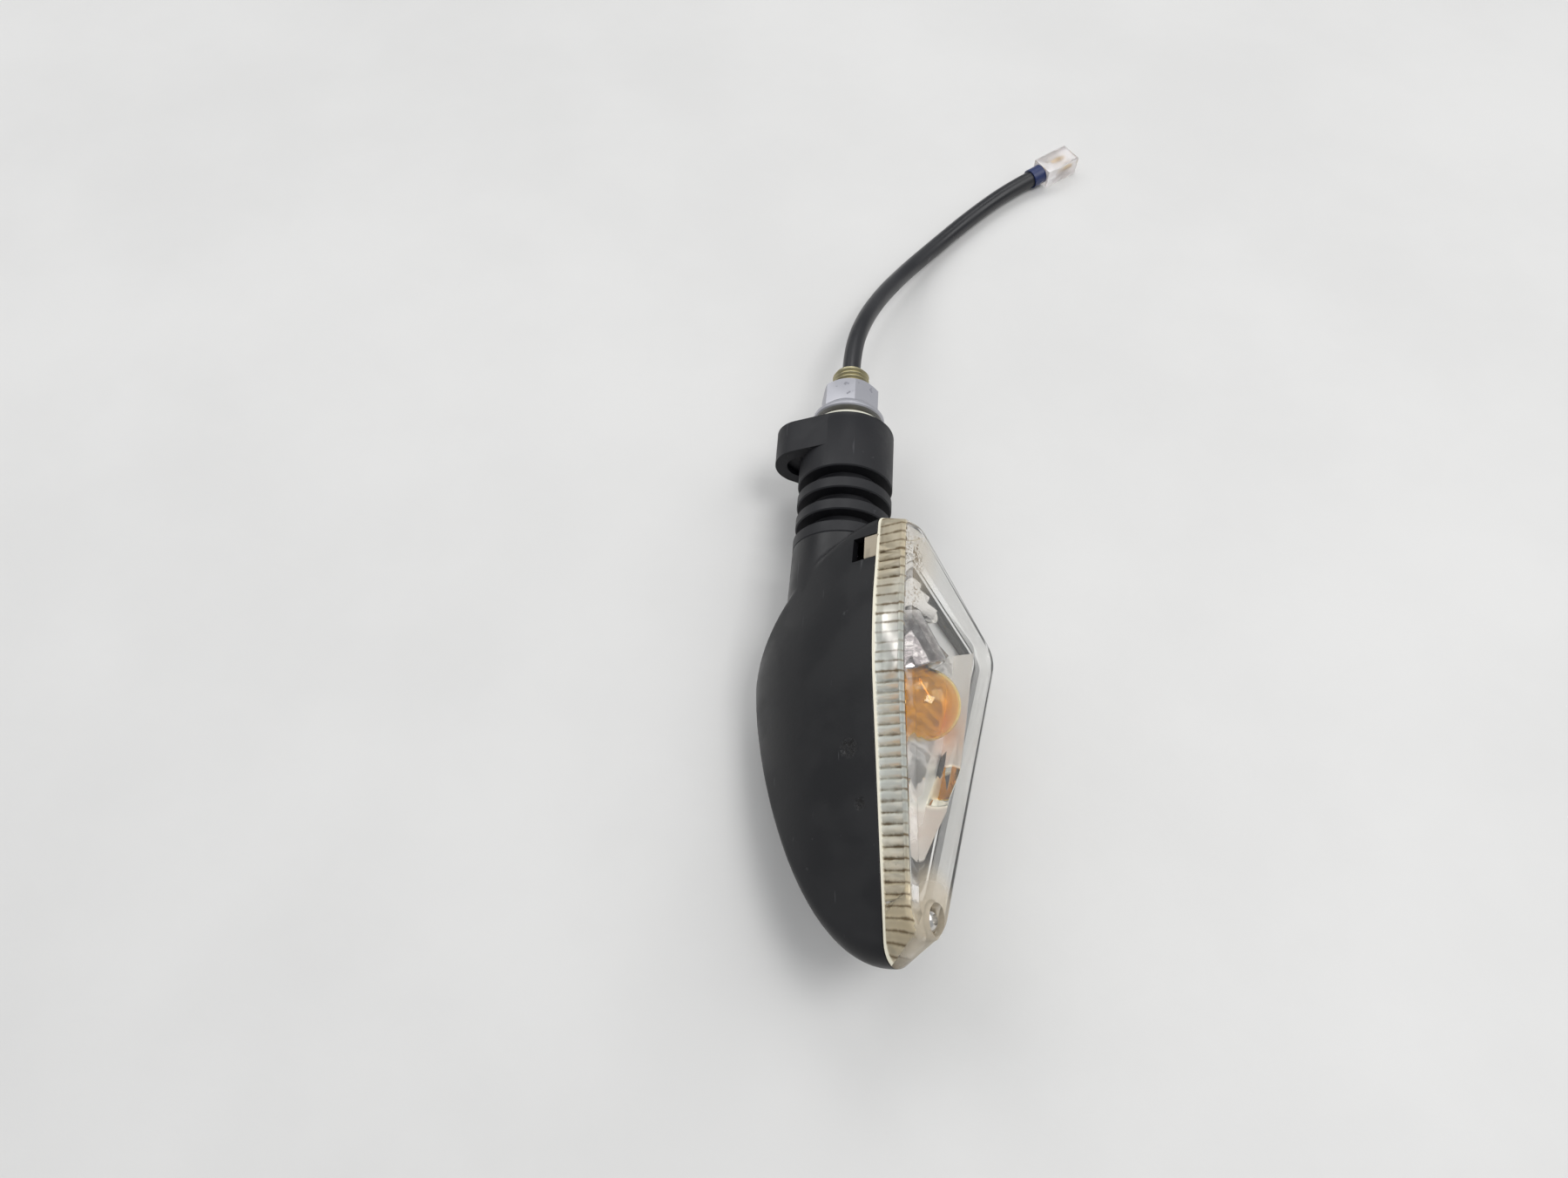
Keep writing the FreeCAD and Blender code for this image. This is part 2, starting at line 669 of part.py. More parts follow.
# ---- reflector ---------------------------------------------------------------------
def reflector():
    """The silvered plate with its dish, collar and screw holes."""
    top = REFLECTOR_TOP_U
    plate = slab(inset(RIM, REFLECTOR_INSET), top - REFLECTOR_T, top)
    outer = dish(DISH, top - 0.01, DISH_DEPTH)
    body = plate.fuse(outer)
    hollow = dish(inset(DISH, REFLECTOR_T), top + 0.01, DISH_DEPTH - REFLECTOR_T)
    collar_r = SOCKET_R + BOND_GAP
    collar = on_bulb(upright(collar_r + COLLAR_T, 0, COLLAR_BOTTOM, SOCKET_TOP))
    body = body.cut(hollow).fuse(collar)
    body = body.cut(on_bulb(upright(collar_r, 0, SOCKET_BOTTOM - 6, SOCKET_TOP + 0.01)))
    globe_room = GLOBE_R + 0.6
    body = body.cut(on_bulb(upright(globe_room, 0, SOCKET_TOP, GLOBE_HEIGHT)))
    body = body.cut(on_bulb(Part.makeSphere(globe_room, Vector(0, 0, GLOBE_HEIGHT))))
    body = body.cut(along_u(SCREW_POST_R + SEAL_GAP, 0, SCREW_Y, SCREW_V, 0, top + 1))
    for y, v in FIXING_PLACES:
        body = body.cut(along_u(FIXING_HOLE_R, 0, y, v, 0, top + 1))
    solids = sorted(body.Solids, key=lambda s: s.Volume)
    return solids[-1]


def reflector_screws():
    """The two small screws that hold the reflector on its posts."""
    screws = []
    for y, v in FIXING_PLACES:
        low = REFLECTOR_TOP_U - FIXING_LENGTH
        shank = along_u(FIXING_R, 0, y, v, low, REFLECTOR_TOP_U)
        head = along_u(FIXING_HEAD_R, 0, y, v, REFLECTOR_TOP_U, REFLECTOR_TOP_U + FIXING_HEAD_T)
        screws.append(shank.fuse(head).removeSplitter())
    return Part.makeCompound(screws)


# ---- bulb --------------------------------------------------------------------------
def glass_blank(wall):
    """The bulb's glass outline, shrunk by a wall."""
    globe = Part.makeSphere(GLOBE_R - wall, Vector(0, 0, GLOBE_HEIGHT))
    neck = upright(GLASS_NECK_R - wall, 0, BASE_TOP, GLOBE_HEIGHT)
    return globe.fuse(neck)


def bulb_glass():
    """The amber globe and its neck, hollow."""
    return on_bulb(glass_blank(0).cut(glass_blank(GLASS_WALL)))


def bulb_base():
    """The bulb's metal cap with its two bayonet pins."""
    cap = upright(BASE_R, BASE_R - 0.5, BASE_BOTTOM + 1.0, BASE_TOP)
    floor = upright(BASE_R, CONTACT_R + 0.4, BASE_BOTTOM, BASE_BOTTOM + 1.0)
    top = upright(BASE_R, GLASS_NECK_R - 1.6, BASE_TOP - 0.8, BASE_TOP)
    body = cap.fuse(floor).fuse(top)
    for angle in (0.0, PIN_ANGLE):
        way = Vector(math.cos(math.radians(angle)), math.sin(math.radians(angle)), 0)
        start = Vector(0, 0, PIN_HEIGHT) + way * (BASE_R - 0.4)
        body = body.fuse(Part.makeCylinder(PIN_R, PIN_REACH - BASE_R + 0.4, start, way))
    return on_bulb(body)


def bulb_contact():
    """The insulated contact in the cap's floor."""
    rim = upright(CONTACT_R + 0.4, 0, BASE_BOTTOM, BASE_BOTTOM + 1.0)
    return on_bulb(rim.fuse(upright(CONTACT_R, 0, 0, 1.2)))


def bulb_filament():
    """The two supports and the filament between them."""
    stem = upright(GLASS_NECK_R - 1.8, 0, BASE_BOTTOM + 1.0, BASE_TOP + 3)
    body = stem
    half = 2.6
    for side in (-half, half):
        body = body.fuse(Part.makeCylinder(0.3, GLOBE_HEIGHT - BASE_TOP, Vector(side, 0, BASE_TOP)))
    coil = Part.makeCylinder(0.55, 2 * half, Vector(-half, 0, GLOBE_HEIGHT - 0.2), Vector(1, 0, 0))
    return on_bulb(body.fuse(coil))


# ---- socket ------------------------------------------------------------------------
def slot_wedge(angle):
    """The room for one bayonet pin: the way in and the turn at its end."""
    low = PIN_HEIGHT - PUSH_TRAVEL - PIN_R - 0.2
    high = PIN_HEIGHT + PIN_R + 0.2
    spare = math.degrees(SLOT_WIDTH / 2 / (BASE_R + SOCKET_PLAY))
    sweep = TURN_RANGE + 2 * spare
    turn = Part.makeCylinder(PIN_REACH + 1, high - low, Vector(0, 0, low), Vector(0, 0, 1), sweep)
    turn.rotate(Vector(0, 0, 0), Vector(0, 0, 1), angle - TURN_RANGE - spare)
    way_in = Part.makeBox(PIN_REACH + 1, SLOT_WIDTH, SOCKET_TOP - low + 1, Vector(0, -SLOT_WIDTH / 2, low))
    way_in.rotate(Vector(0, 0, 0), Vector(0, 0, 1), angle - TURN_RANGE)
    return turn.fuse(way_in)


def bulb_socket():
    """The pressed metal socket with a slot for each bayonet pin."""
    inner = BASE_R + SOCKET_PLAY
    shell = upright(inner + SOCKET_WALL, inner, SOCKET_BOTTOM, SOCKET_TOP)
    for angle in (0.0, PIN_ANGLE):
        shell = shell.cut(slot_wedge(angle))
    return on_bulb(shell)


def socket_insulator():
    """The insulating disc that closes the socket and guides the plunger."""
    low = SOCKET_BOTTOM
    return on_bulb(upright(BASE_R + SOCKET_PLAY, PLUNGER_STEM_R + 0.06, low, low + INSULATOR_T))


def contact_plunger():
    """The sprung contact that presses on the bulb."""
    top = -CONTACT_GAP
    disc = upright(PLUNGER_R, 0, top - PLUNGER_T, top)
    return on_bulb(disc.fuse(upright(PLUNGER_STEM_R, 0, PLUNGER_END, top - PLUNGER_T)))


def contact_spring():
    """The coil between the insulator and the plunger."""
    low = SOCKET_BOTTOM + INSULATOR_T + SPRING_WIRE_R + SPRING_END_PLAY
    high = -CONTACT_GAP - PLUNGER_T - SPRING_WIRE_R - SPRING_END_PLAY
    count = SPRING_TURNS * SPRING_STEPS
    coil = []
    for i in range(count + 1):
        turn = 2 * math.pi * i / SPRING_STEPS
        coil.append((SPRING_R * math.cos(turn), SPRING_R * math.sin(turn), low + (high - low) * i / count))
    return on_bulb(swept(coil, SPRING_WIRE_R)[0])


def ground_terminal():
    """The tab spot-welded to the socket for the earth lead."""
    low = SOCKET_BOTTOM + EARTH_TAB_SET_UP
    corner = Vector(SOCKET_R, -EARTH_TAB_WIDTH / 2, low)
    tab = Part.makeBox(EARTH_TAB_T, EARTH_TAB_WIDTH, EARTH_TAB_HEIGHT, corner)
    tab.rotate(Vector(0, 0, 0), Vector(0, 0, 1), EARTH_TAB_ANGLE)
    return on_bulb(tab)


def beside_tab(distance):
    """A point straight out from the ground tab's face, for the earth lead."""
    angle = math.radians(EARTH_TAB_ANGLE)
    reach = SOCKET_R + EARTH_TAB_T + distance
    spot = Vector(reach * math.cos(angle), reach * math.sin(angle), EARTH_HEIGHT)
    return tuple(bulb_placement().multVec(spot))


# ---- cable -------------------------------------------------------------------------
def cable_inner_run():
    """The cable inside the stud and the stem."""
    return along_stem(CABLE_R, 0, STUD_TIP_Y, CABLE_INNER_END_Y)


def lead_wires():
    """The two leads from the cable's end to the socket."""
    start = CABLE_INNER_END_Y - CONTACT_GAP
    live_end = bulb_placement().multVec(Vector(LIVE_SIDE, 0, SOCKET_BOTTOM))
    away = bulb_placement().multVec(Vector(LIVE_SIDE, 0, SOCKET_BOTTOM - LIVE_RISE))
    live = [(0, start, LEAD_SIDE), (0, start - 1.0, LEAD_SIDE), tuple(away), tuple(live_end)]
    x, z = EARTH_START
    earth = [(x, start, z), (x, start - 1.2, z), beside_tab(EARTH_BEND), beside_tab(0)]
    return Part.makeCompound([swept(live, LEAD_R)[0], swept(earth, LEAD_R)[0]])


def plug_frame():
    """The place of the cable's end, its heading and the sideways direction."""
    end = Vector(*CABLE_ROUTE[-1])
    heading = (end - Vector(*CABLE_ROUTE[-2])).normalize()
    side = Vector(0, 0, 1).cross(heading).normalize()
    return end, heading, side


def sleeve_end():
    """The middle of the sleeve's far face."""
    end, heading, _ = plug_frame()
    return end + heading * SLEEVE_LENGTH


def level_box(start, length, width, height):
    """A box along the plug's level heading, centred on its line."""
    _, heading, side = plug_frame()
    level = Vector(heading.x, heading.y, 0).normalize()
    low = start - side * (width / 2) - Vector(0, 0, height / 2)
    corners = [low, low + side * width]
    corners.append(corners[1] + Vector(0, 0, height))
    corners.append(low + Vector(0, 0, height))
    corners.append(low)
    return Part.Face(Part.makePolygon(corners)).extrude(level * length)


def plug_start():
    """The middle of the connector's back face, which rests its body on the table."""
    end = sleeve_end()
    return Vector(end.x, end.y, PLUG_HEIGHT / 2 - REST_HEIGHT)


def connector_housing():
    """The milky two-way connector body, open at its far end."""
    _, heading, _ = plug_frame()
    level = Vector(heading.x, heading.y, 0).normalize()
    start = plug_start() + level * PLUG_BACK_GAP
    body = level_box(start, PLUG_LENGTH, PLUG_WIDTH, PLUG_HEIGHT)
    mouth = level_box(
        start + level * PLUG_FLOOR, PLUG_LENGTH, PLUG_WIDTH - 2 * PLUG_WALL, PLUG_HEIGHT - 2 * PLUG_WALL
    )
    return body.cut(mouth)


def connector_terminals():
    """The two pins in the connector."""
    _, heading, side = plug_frame()
    level = Vector(heading.x, heading.y, 0).normalize()
    pins = []
    for way in (-0.5, 0.5):
        start = plug_start() + level * (PLUG_FLOOR + PLUG_BACK_GAP) + side * (TERMINAL_SPACING * way)
        pins.append(Part.makeCylinder(TERMINAL_R, TERMINAL_LENGTH - 1.0, start, level))
    return Part.makeCompound(pins)


def cable_end_sleeve():
    """The dark blue sleeve shrunk over the cable's end."""
    end, heading, _ = plug_frame()
    return Part.makeCylinder(SLEEVE_R, SLEEVE_LENGTH, end, heading)


# ---- everything --------------------------------------------------------------------
def write(name, shape):
    """Writes one node's solids."""
    shape.exportStep("parts/" + name + ".step")
    print(name, "solids", len(shape.Solids), "volume", round(shape.Volume, 2), "valid", shape.isValid())


def main():
    """Builds every node and writes it."""
    write("mounting_stud", mounting_stud())
    write("seat_washer", seat_washer())
    write("flange_nut", flange_nut())
    write("rubber_stem", rubber_stem())
    write("stem_bush", stem_bush())
    write("stem_bush_nut", stem_bush_nut())
    write("housing", as_it_lies(housing()))
    write("lens_screw_insert", as_it_lies(screw_insert()))
    write("lens_gasket", as_it_lies(lens_gasket()))
    write("lens", as_it_lies(lens()))
    write("lens_screw", as_it_lies(lens_screw()))
    write("reflector", as_it_lies(reflector()))
    write("reflector_screws", as_it_lies(reflector_screws()))
    write("bulb_glass", as_it_lies(bulb_glass()))
    write("bulb_base", as_it_lies(bulb_base()))
    write("bulb_contact", as_it_lies(bulb_contact()))
    write("bulb_filament", as_it_lies(bulb_filament()))
    write("bulb_socket", as_it_lies(bulb_socket()))
    write("socket_insulator", as_it_lies(socket_insulator()))
    write("contact_plunger", as_it_lies(contact_plunger()))
    write("contact_spring", as_it_lies(contact_spring()))
    write("ground_terminal", as_it_lies(ground_terminal()))
    write("lead_wires", as_it_lies(lead_wires()))
    write("cable_inner_run", cable_inner_run())
    cable, length, radii = swept(CABLE_ROUTE, CABLE_R)
    write("cable_free_run", cable)
    tube = math.pi * CABLE_R**2 * length
    print("cable length", round(length, 1), "volume / (section x length)", round(cable.Volume / tube, 4))
    print("cable arc radii", [round(r, 1) for r in radii])
    write("cable_end_sleeve", cable_end_sleeve())
    write("connector_housing", connector_housing())
    write("connector_terminals", connector_terminals())


main()
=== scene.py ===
"""The looks of a motorcycle turn signal that lies on a pale table.

Pieces are drawn in millimetres in one of three sets of directions and settled into the row
frame, in metres, with their place in their mesh:

* stem: the row frame's own directions, with +Y along the stem towards the stud,
* lamp: x out of the lens, y along the stem, z across the lens,
* bulb: z from the bulb's contact towards its globe.
"""

import logging
import math
from dataclasses import dataclass
from enum import Enum
from typing import Iterable, Optional, Sequence

import bmesh
import bpy
from mathutils import Matrix, Vector


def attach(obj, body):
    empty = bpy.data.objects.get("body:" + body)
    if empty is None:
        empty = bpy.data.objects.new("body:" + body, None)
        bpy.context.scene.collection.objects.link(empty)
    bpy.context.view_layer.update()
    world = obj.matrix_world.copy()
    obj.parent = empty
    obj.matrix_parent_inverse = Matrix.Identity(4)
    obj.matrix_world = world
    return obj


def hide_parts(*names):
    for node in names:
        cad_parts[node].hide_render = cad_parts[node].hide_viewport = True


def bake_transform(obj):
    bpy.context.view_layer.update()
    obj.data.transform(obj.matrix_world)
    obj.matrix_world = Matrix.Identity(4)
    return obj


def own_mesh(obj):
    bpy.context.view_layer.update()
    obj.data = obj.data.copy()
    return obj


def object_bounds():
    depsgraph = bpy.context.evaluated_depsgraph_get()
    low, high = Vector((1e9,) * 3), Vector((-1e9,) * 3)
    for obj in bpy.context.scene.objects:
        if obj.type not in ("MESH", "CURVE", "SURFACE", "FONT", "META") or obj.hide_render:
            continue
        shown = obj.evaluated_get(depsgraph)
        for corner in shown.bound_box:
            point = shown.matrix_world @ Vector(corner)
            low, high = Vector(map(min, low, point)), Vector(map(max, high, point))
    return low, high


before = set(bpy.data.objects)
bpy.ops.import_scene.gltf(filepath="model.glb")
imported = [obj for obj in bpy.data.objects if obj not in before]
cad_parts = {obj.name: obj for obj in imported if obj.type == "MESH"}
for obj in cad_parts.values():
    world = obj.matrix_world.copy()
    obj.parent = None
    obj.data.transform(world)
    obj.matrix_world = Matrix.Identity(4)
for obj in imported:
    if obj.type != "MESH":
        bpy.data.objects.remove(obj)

CAD_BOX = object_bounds()
LOG = logging.getLogger("turn_signal")

Mesh = bmesh.types.BMesh
Vert = bmesh.types.BMVert
Edge = bmesh.types.BMEdge
Piece = bpy.types.Object
Node = bpy.types.Node
Socket = bpy.types.NodeSocket
Material = bpy.types.Material
Corner = tuple[float, float, float]
Colour = tuple[float, float, float]
Spot = tuple[Vector, float, float]

MM = 0.001
X, Y, Z = Vector((1, 0, 0)), Vector((0, 1, 0)), Vector((0, 0, 1))
LAMP = Matrix.Rotation(math.radians(-36.0), 4, "Y")
QUARTER = Matrix.Rotation(math.radians(90), 4, "X")
GLOBE_CENTRE = Vector((15.8, -77.6, -12.0))
TO_BASE = Vector((-8.0, 27.0, 14.0)).normalized()
GLOBE_HEIGHT = 28.5
GLOBE_R = 8.8
CONTACT = GLOBE_CENTRE + TO_BASE * GLOBE_HEIGHT


class Place(Enum):
    """The directions a piece is drawn in."""

    STEM = "stem"
    LAMP = "lamp"
    BULB = "bulb"

    def matrix(self) -> Matrix:
        """The turn and shift from these directions to the row frame, in millimetres."""
        if self is Place.STEM:
            return Matrix.Identity(4)
        if self is Place.LAMP:
            return LAMP.copy()
        turn = Z.rotation_difference(-TO_BASE).to_matrix().to_4x4()
        return LAMP @ Matrix.Translation(CONTACT) @ turn


class Join(Enum):
    """How two solids are put together."""

    ADD = "UNION"
    CUT = "DIFFERENCE"
    KEEP = "INTERSECT"


# ---- mesh tools ---------------------------------------------------------------------
def inset(corners: Sequence[Corner], distance: float) -> list[Corner]:
    """The corners moved inwards from every side.

    Args:
        corners: (y, z, radius) of each corner, in order.
        distance: How far each side moves in.

    Returns:
        The moved corners, with smaller radii.
    """
    moved = []
    for i, (y, z, radius) in enumerate(corners):
        here = Vector((y, z))
        back = (Vector(corners[i - 1][:2]) - here).normalized()
        ahead = (Vector(corners[(i + 1) % len(corners)][:2]) - here).normalized()
        half = back.angle(ahead) / 2
        place = here + (back + ahead).normalized() * (distance / math.sin(half))
        moved.append((place.x, place.y, max(radius - distance, 0.6)))
    return moved


def rounded(corners: Sequence[Corner], x: float, segments: int = 8) -> Mesh:
    """One flat face with rounded corners.

    Args:
        corners: (y, z, radius) of each corner, in order.
        x: The height of the face along x.
        segments: Edges in each corner's arc.

    Returns:
        A bmesh that holds the face.
    """
    bm = bmesh.new()
    verts = [bm.verts.new((x, y, z)) for y, z, _ in corners]
    bm.faces.new(verts)
    places = [Vector(c[:2]) for c in corners]
    for i, vert in enumerate(verts):
        back = places[i - 1] - places[i]
        ahead = places[(i + 1) % len(places)] - places[i]
        reach = corners[i][2] / math.tan(back.angle(ahead) / 2)
        bmesh.ops.bevel(
            bm, geom=[vert], offset=reach, offset_type="OFFSET", segments=segments, profile=0.5,
            affect="VERTICES", material=-1,
        )
    return bm


def verts_in(geom: Iterable[object]) -> list[Vert]:
    """The vertices among some geometry."""
    return [g for g in geom if isinstance(g, Vert)]


def slab(corners: Sequence[Corner], low: float, high: float) -> Mesh:
    """A flat plate with rounded corners, from low to high along x."""
    bm = rounded(corners, low)
    grown = bmesh.ops.extrude_face_region(bm, geom=bm.faces[:])["geom"]
    bmesh.ops.translate(bm, verts=verts_in(grown), vec=X * (high - low))
    bmesh.ops.recalc_face_normals(bm, faces=bm.faces)
    return bm


def turned(profile: Sequence[tuple[float, float]], axis: str = "Y", steps: int = 96) -> Mesh:
    """A solid of revolution.

    Args:
        profile: (along, radius) points. A closed ring starts and ends on the same point.
        axis: "Y" or "Z".
        steps: Sides of the turned shape.

    Returns:
        The closed shape.
    """
    closed = profile[0] == profile[-1]
    points = profile[:-1] if closed else profile
    bm = bmesh.new()
    verts = [bm.verts.new((r, a, 0) if axis == "Y" else (r, 0, a)) for a, r in points]
    edges = [bm.edges.new(pair) for pair in zip(verts, verts[1:])]
    if closed:
        edges.append(bm.edges.new((verts[-1], verts[0])))
    bmesh.ops.spin(
        bm, geom=verts + edges, cent=(0, 0, 0), axis=Y if axis == "Y" else Z, angle=2 * math.pi, steps=steps,
        use_merge=True, use_duplicate=False,
    )
    bmesh.ops.remove_doubles(bm, verts=bm.verts, dist=1e-5)
    bmesh.ops.recalc_face_normals(bm, faces=bm.faces)
    return bm


def rod(radius: float, start: Sequence[float], way: Vector, length: float, steps: int = 32) -> Mesh:
    """A round rod from a point along a direction."""
    bm = bmesh.new()
    turn = Z.rotation_difference(way).to_matrix().to_4x4()
    middle = Matrix.Translation(Vector(start) + way.normalized() * (length / 2)) @ turn
    bmesh.ops.create_cone(
        bm, cap_ends=True, segments=steps, radius1=radius, radius2=radius, depth=length, matrix=middle
    )
    return bm


def peg(radius: float, x: float, spot: Sequence[float], length: float, steps: int = 32) -> Mesh:
    """A round rod that points out of the lens, from a height over a (y, z) spot of the lamp."""
    return rod(radius, (x, *spot), X, length, steps)


def box(centre: Sequence[float], size: Sequence[float], turn: float = 0.0) -> Mesh:
    """A block about its centre, turned by degrees about z."""
    bm = bmesh.new()
    place = Matrix.Translation(centre) @ Matrix.Rotation(math.radians(turn), 4, "Z")
    bmesh.ops.create_cube(bm, size=1, matrix=place @ Matrix.Diagonal((*size, 1)))
    return bm


def hoop(bm: Mesh, radius: float, centre: Sequence[float], segments: int) -> Mesh:
    """The bmesh with a circle about a line along y added to it."""
    bmesh.ops.create_circle(bm, segments=segments, radius=radius, matrix=Matrix.Translation(centre) @ QUARTER)
    return bm


def wound(bm: Mesh, axis: Vector, rise: float, turns: int, steps: int, centre: Sequence[float] = (0, 0, 0)) -> Mesh:
    """A section swept along a helix.

    Args:
        bm: The section, which changes.
        axis: The way the helix rises.
        rise: How far it rises in all.
        turns: How often it goes round.
        steps: Sections along it.
        centre: A point on its axis.

    Returns:
        The bmesh that was given.
    """
    bmesh.ops.spin(
        bm, geom=bm.verts[:] + bm.edges[:], cent=centre, axis=axis, dvec=axis * (rise / steps),
        angle=2 * math.pi * turns, steps=steps,
    )
    return bm


def capped(bm: Mesh) -> Mesh:
    """The shape with its open ends filled and its faces turned outwards."""
    bmesh.ops.holes_fill(bm, edges=bm.edges[:])
    bmesh.ops.recalc_face_normals(bm, faces=bm.faces)
    return bm


def softened(bm: Mesh, width: float, segments: int = 2, angle: float = 35.0) -> Mesh:
    """The same shape with its hard edges rounded.

    Args:
        bm: The shape, which changes.
        width: How far the rounding reaches from an edge.
        segments: Faces across the rounding.
        angle: Degrees past which an edge is hard.

    Returns:
        The shape that was given.
    """
    limit = math.radians(angle)
    hard = [e for e in bm.edges if len(e.link_faces) == 2 and e.calc_face_angle() > limit]
    bmesh.ops.bevel(
        bm, geom=hard, offset=width, offset_type="OFFSET", segments=segments, profile=0.5, affect="EDGES",
        clamp_overlap=True, material=-1,
    )
    return bm


def trimmed(bm: Mesh, *planes: tuple[Sequence[float], Sequence[float]]) -> Mesh:
    """The shape without what lies past each plane, which is a point and a normal."""
    for point, normal in planes:
        bmesh.ops.bisect_plane(
            bm, geom=bm.verts[:] + bm.edges[:] + bm.faces[:], plane_co=point, plane_no=normal, clear_outer=True
        )
    return bm


def as_object(bm: Mesh, name: str) -> Piece:
    """A linked object that holds the bmesh, which is freed."""
    mesh = bpy.data.meshes.new(name)
    bm.to_mesh(mesh)
    bm.free()
    obj = bpy.data.objects.new(name, mesh)
    bpy.context.scene.collection.objects.link(obj)
    return obj


def as_bmesh(obj: Piece) -> Mesh:
    """The object's mesh with its modifiers applied, as a bmesh. The object is removed."""
    graph = bpy.context.evaluated_depsgraph_get()
    mesh = bpy.data.meshes.new_from_object(obj.evaluated_get(graph))
    bm = bmesh.new()
    bm.from_mesh(mesh)
    old = obj.data
    bpy.data.objects.remove(obj)
    bpy.data.meshes.remove(mesh)
    bpy.data.meshes.remove(old)
    return bm


def joined(base: Mesh, tool: Mesh, how: Join) -> Mesh:
    """Two closed solids added, cut or intersected. Both are used up."""
    a = as_object(base, "base")
    b = as_object(tool, "tool")
    change = a.modifiers.new("join", "BOOLEAN")
    change.operation = how.value
    change.solver = "MANIFOLD"
    change.object = b
    result = as_bmesh(a)
    old = b.data
    bpy.data.objects.remove(b)
    bpy.data.meshes.remove(old)
    return result


def take_in(whole: Mesh, part: Mesh) -> None:
    """Adds a part, which is used up, to a whole."""
    mesh = bpy.data.meshes.new("part")
    part.to_mesh(mesh)
    part.free()
    whole.from_mesh(mesh)
    bpy.data.meshes.remove(mesh)


def merged(*parts: Mesh) -> Mesh:
    """Several separate shapes in one bmesh."""
    whole = bmesh.new()
    for part in parts:
        take_in(whole, part)
    return whole


def moulded(bm: Mesh, voxel: float, rounds: int) -> Mesh:
    """A closed solid made again from even small faces, with its corners eased."""
    obj = as_object(bm, "blank")
    remesh = obj.modifiers.new("even", "REMESH")
    remesh.mode = "VOXEL"
    remesh.voxel_size = voxel
    smooth = obj.modifiers.new("ease", "SMOOTH")
    smooth.factor = 0.5
    smooth.iterations = rounds
    return as_bmesh(obj)


def thickened(bm: Mesh, thickness: float) -> Mesh:
    """A sheet with a wall behind its face."""
    sheet = as_object(bm, "sheet")
    wall = sheet.modifiers.new("wall", "SOLIDIFY")
    wall.thickness = thickness
    wall.offset = -1.0
    return as_bmesh(sheet)


def facing(bm: Mesh, way: Vector) -> Mesh:
    """The open sheet, turned over where it faces away from a direction."""
    bmesh.ops.recalc_face_normals(bm, faces=bm.faces)
    if sum(f.normal.dot(way) * f.calc_area() for f in bm.faces) < 0:
        bmesh.ops.reverse_faces(bm, faces=bm.faces)
    return bm


def raised(bm: Mesh, edges: list[Edge]) -> tuple[list[Vert], list[Edge]]:
    """New walls on open edges, not yet moved: their new vertices and far edges."""
    grown = bmesh.ops.extrude_edge_only(bm, edges=edges)["geom"]
    verts = verts_in(grown)
    fresh = set(verts)
    return verts, [g for g in grown if isinstance(g, Edge) and all(v in fresh for v in g.verts)]


def walled(bm: Mesh, faces: Iterable[Mesh]) -> list[Edge]:
    """Walls drawn from a face's edge through other faces whose vertices come in the same order.

    Args:
        bm: A bmesh with one face, whose edges start the walls.
        faces: The faces that the walls pass through, which are used up.

    Returns:
        The walls' last edges.
    """
    order = bm.verts.layers.int.new("order")
    for i, vert in enumerate(bm.verts):
        vert[order] = i
    edges = bm.edges[:]
    for face in faces:
        places = [v.co.copy() for v in face.verts]
        face.free()
        verts, edges = raised(bm, edges)
        for vert in verts:
            vert.co = places[vert[order]]
    return edges


@dataclass(frozen=True)
class Level:
    """One step of a bowl: its height, size and place."""

    x: float
    scale: float
    shift_y: float = 0.0
    shift_z: float = 0.0

    def matrix(self, centre: tuple[float, float], start_x: float) -> Matrix:
        """The change from the mouth's outline to this level's."""
        y, z = centre
        there = Matrix.Translation((self.x, y + self.shift_y, z + self.shift_z))
        size = Matrix.Diagonal((1, self.scale, self.scale, 1))
        return there @ size @ Matrix.Translation((-start_x, -y, -z))


def sunk(bm: Mesh, levels: Sequence[Level], centre: tuple[float, float], start_x: float) -> list[Vert]:
    """Walls drawn down from the open edge of a face, level by level, and closed at the end.

    Args:
        bm: A bmesh with one face, whose edges start the walls.
        levels: The steps, from the mouth down.
        centre: (y, z) that the outline shrinks about.
        start_x: The mouth's height.

    Returns:
        The new vertices.
    """
    edges = bm.edges[:]
    before = Matrix.Identity(4)
    made = []
    for level in levels:
        verts, edges = raised(bm, edges)
        after = level.matrix(centre, start_x)
        bmesh.ops.transform(bm, matrix=after @ before.inverted(), verts=verts)
        before = after
        made += verts
    bmesh.ops.contextual_create(bm, geom=edges)
    return made


def settled(bm: Mesh, name: str, place: Place, crease: float = 38.0) -> Piece:
    """A finished piece: its faces smooth up to the crease angle and its place in its mesh."""
    bmesh.ops.remove_doubles(bm, verts=bm.verts, dist=1e-4)
    limit = math.radians(crease)
    for face in bm.faces:
        face.smooth = True
    for edge in bm.edges:
        edge.smooth = len(edge.link_faces) == 2 and edge.calc_face_angle() < limit
    obj = as_object(bm, name)
    obj.data.transform(place.matrix())
    obj.data.transform(Matrix.Scale(MM, 4))
    LOG.info("%s: %d faces", name, len(obj.data.polygons))
    return obj


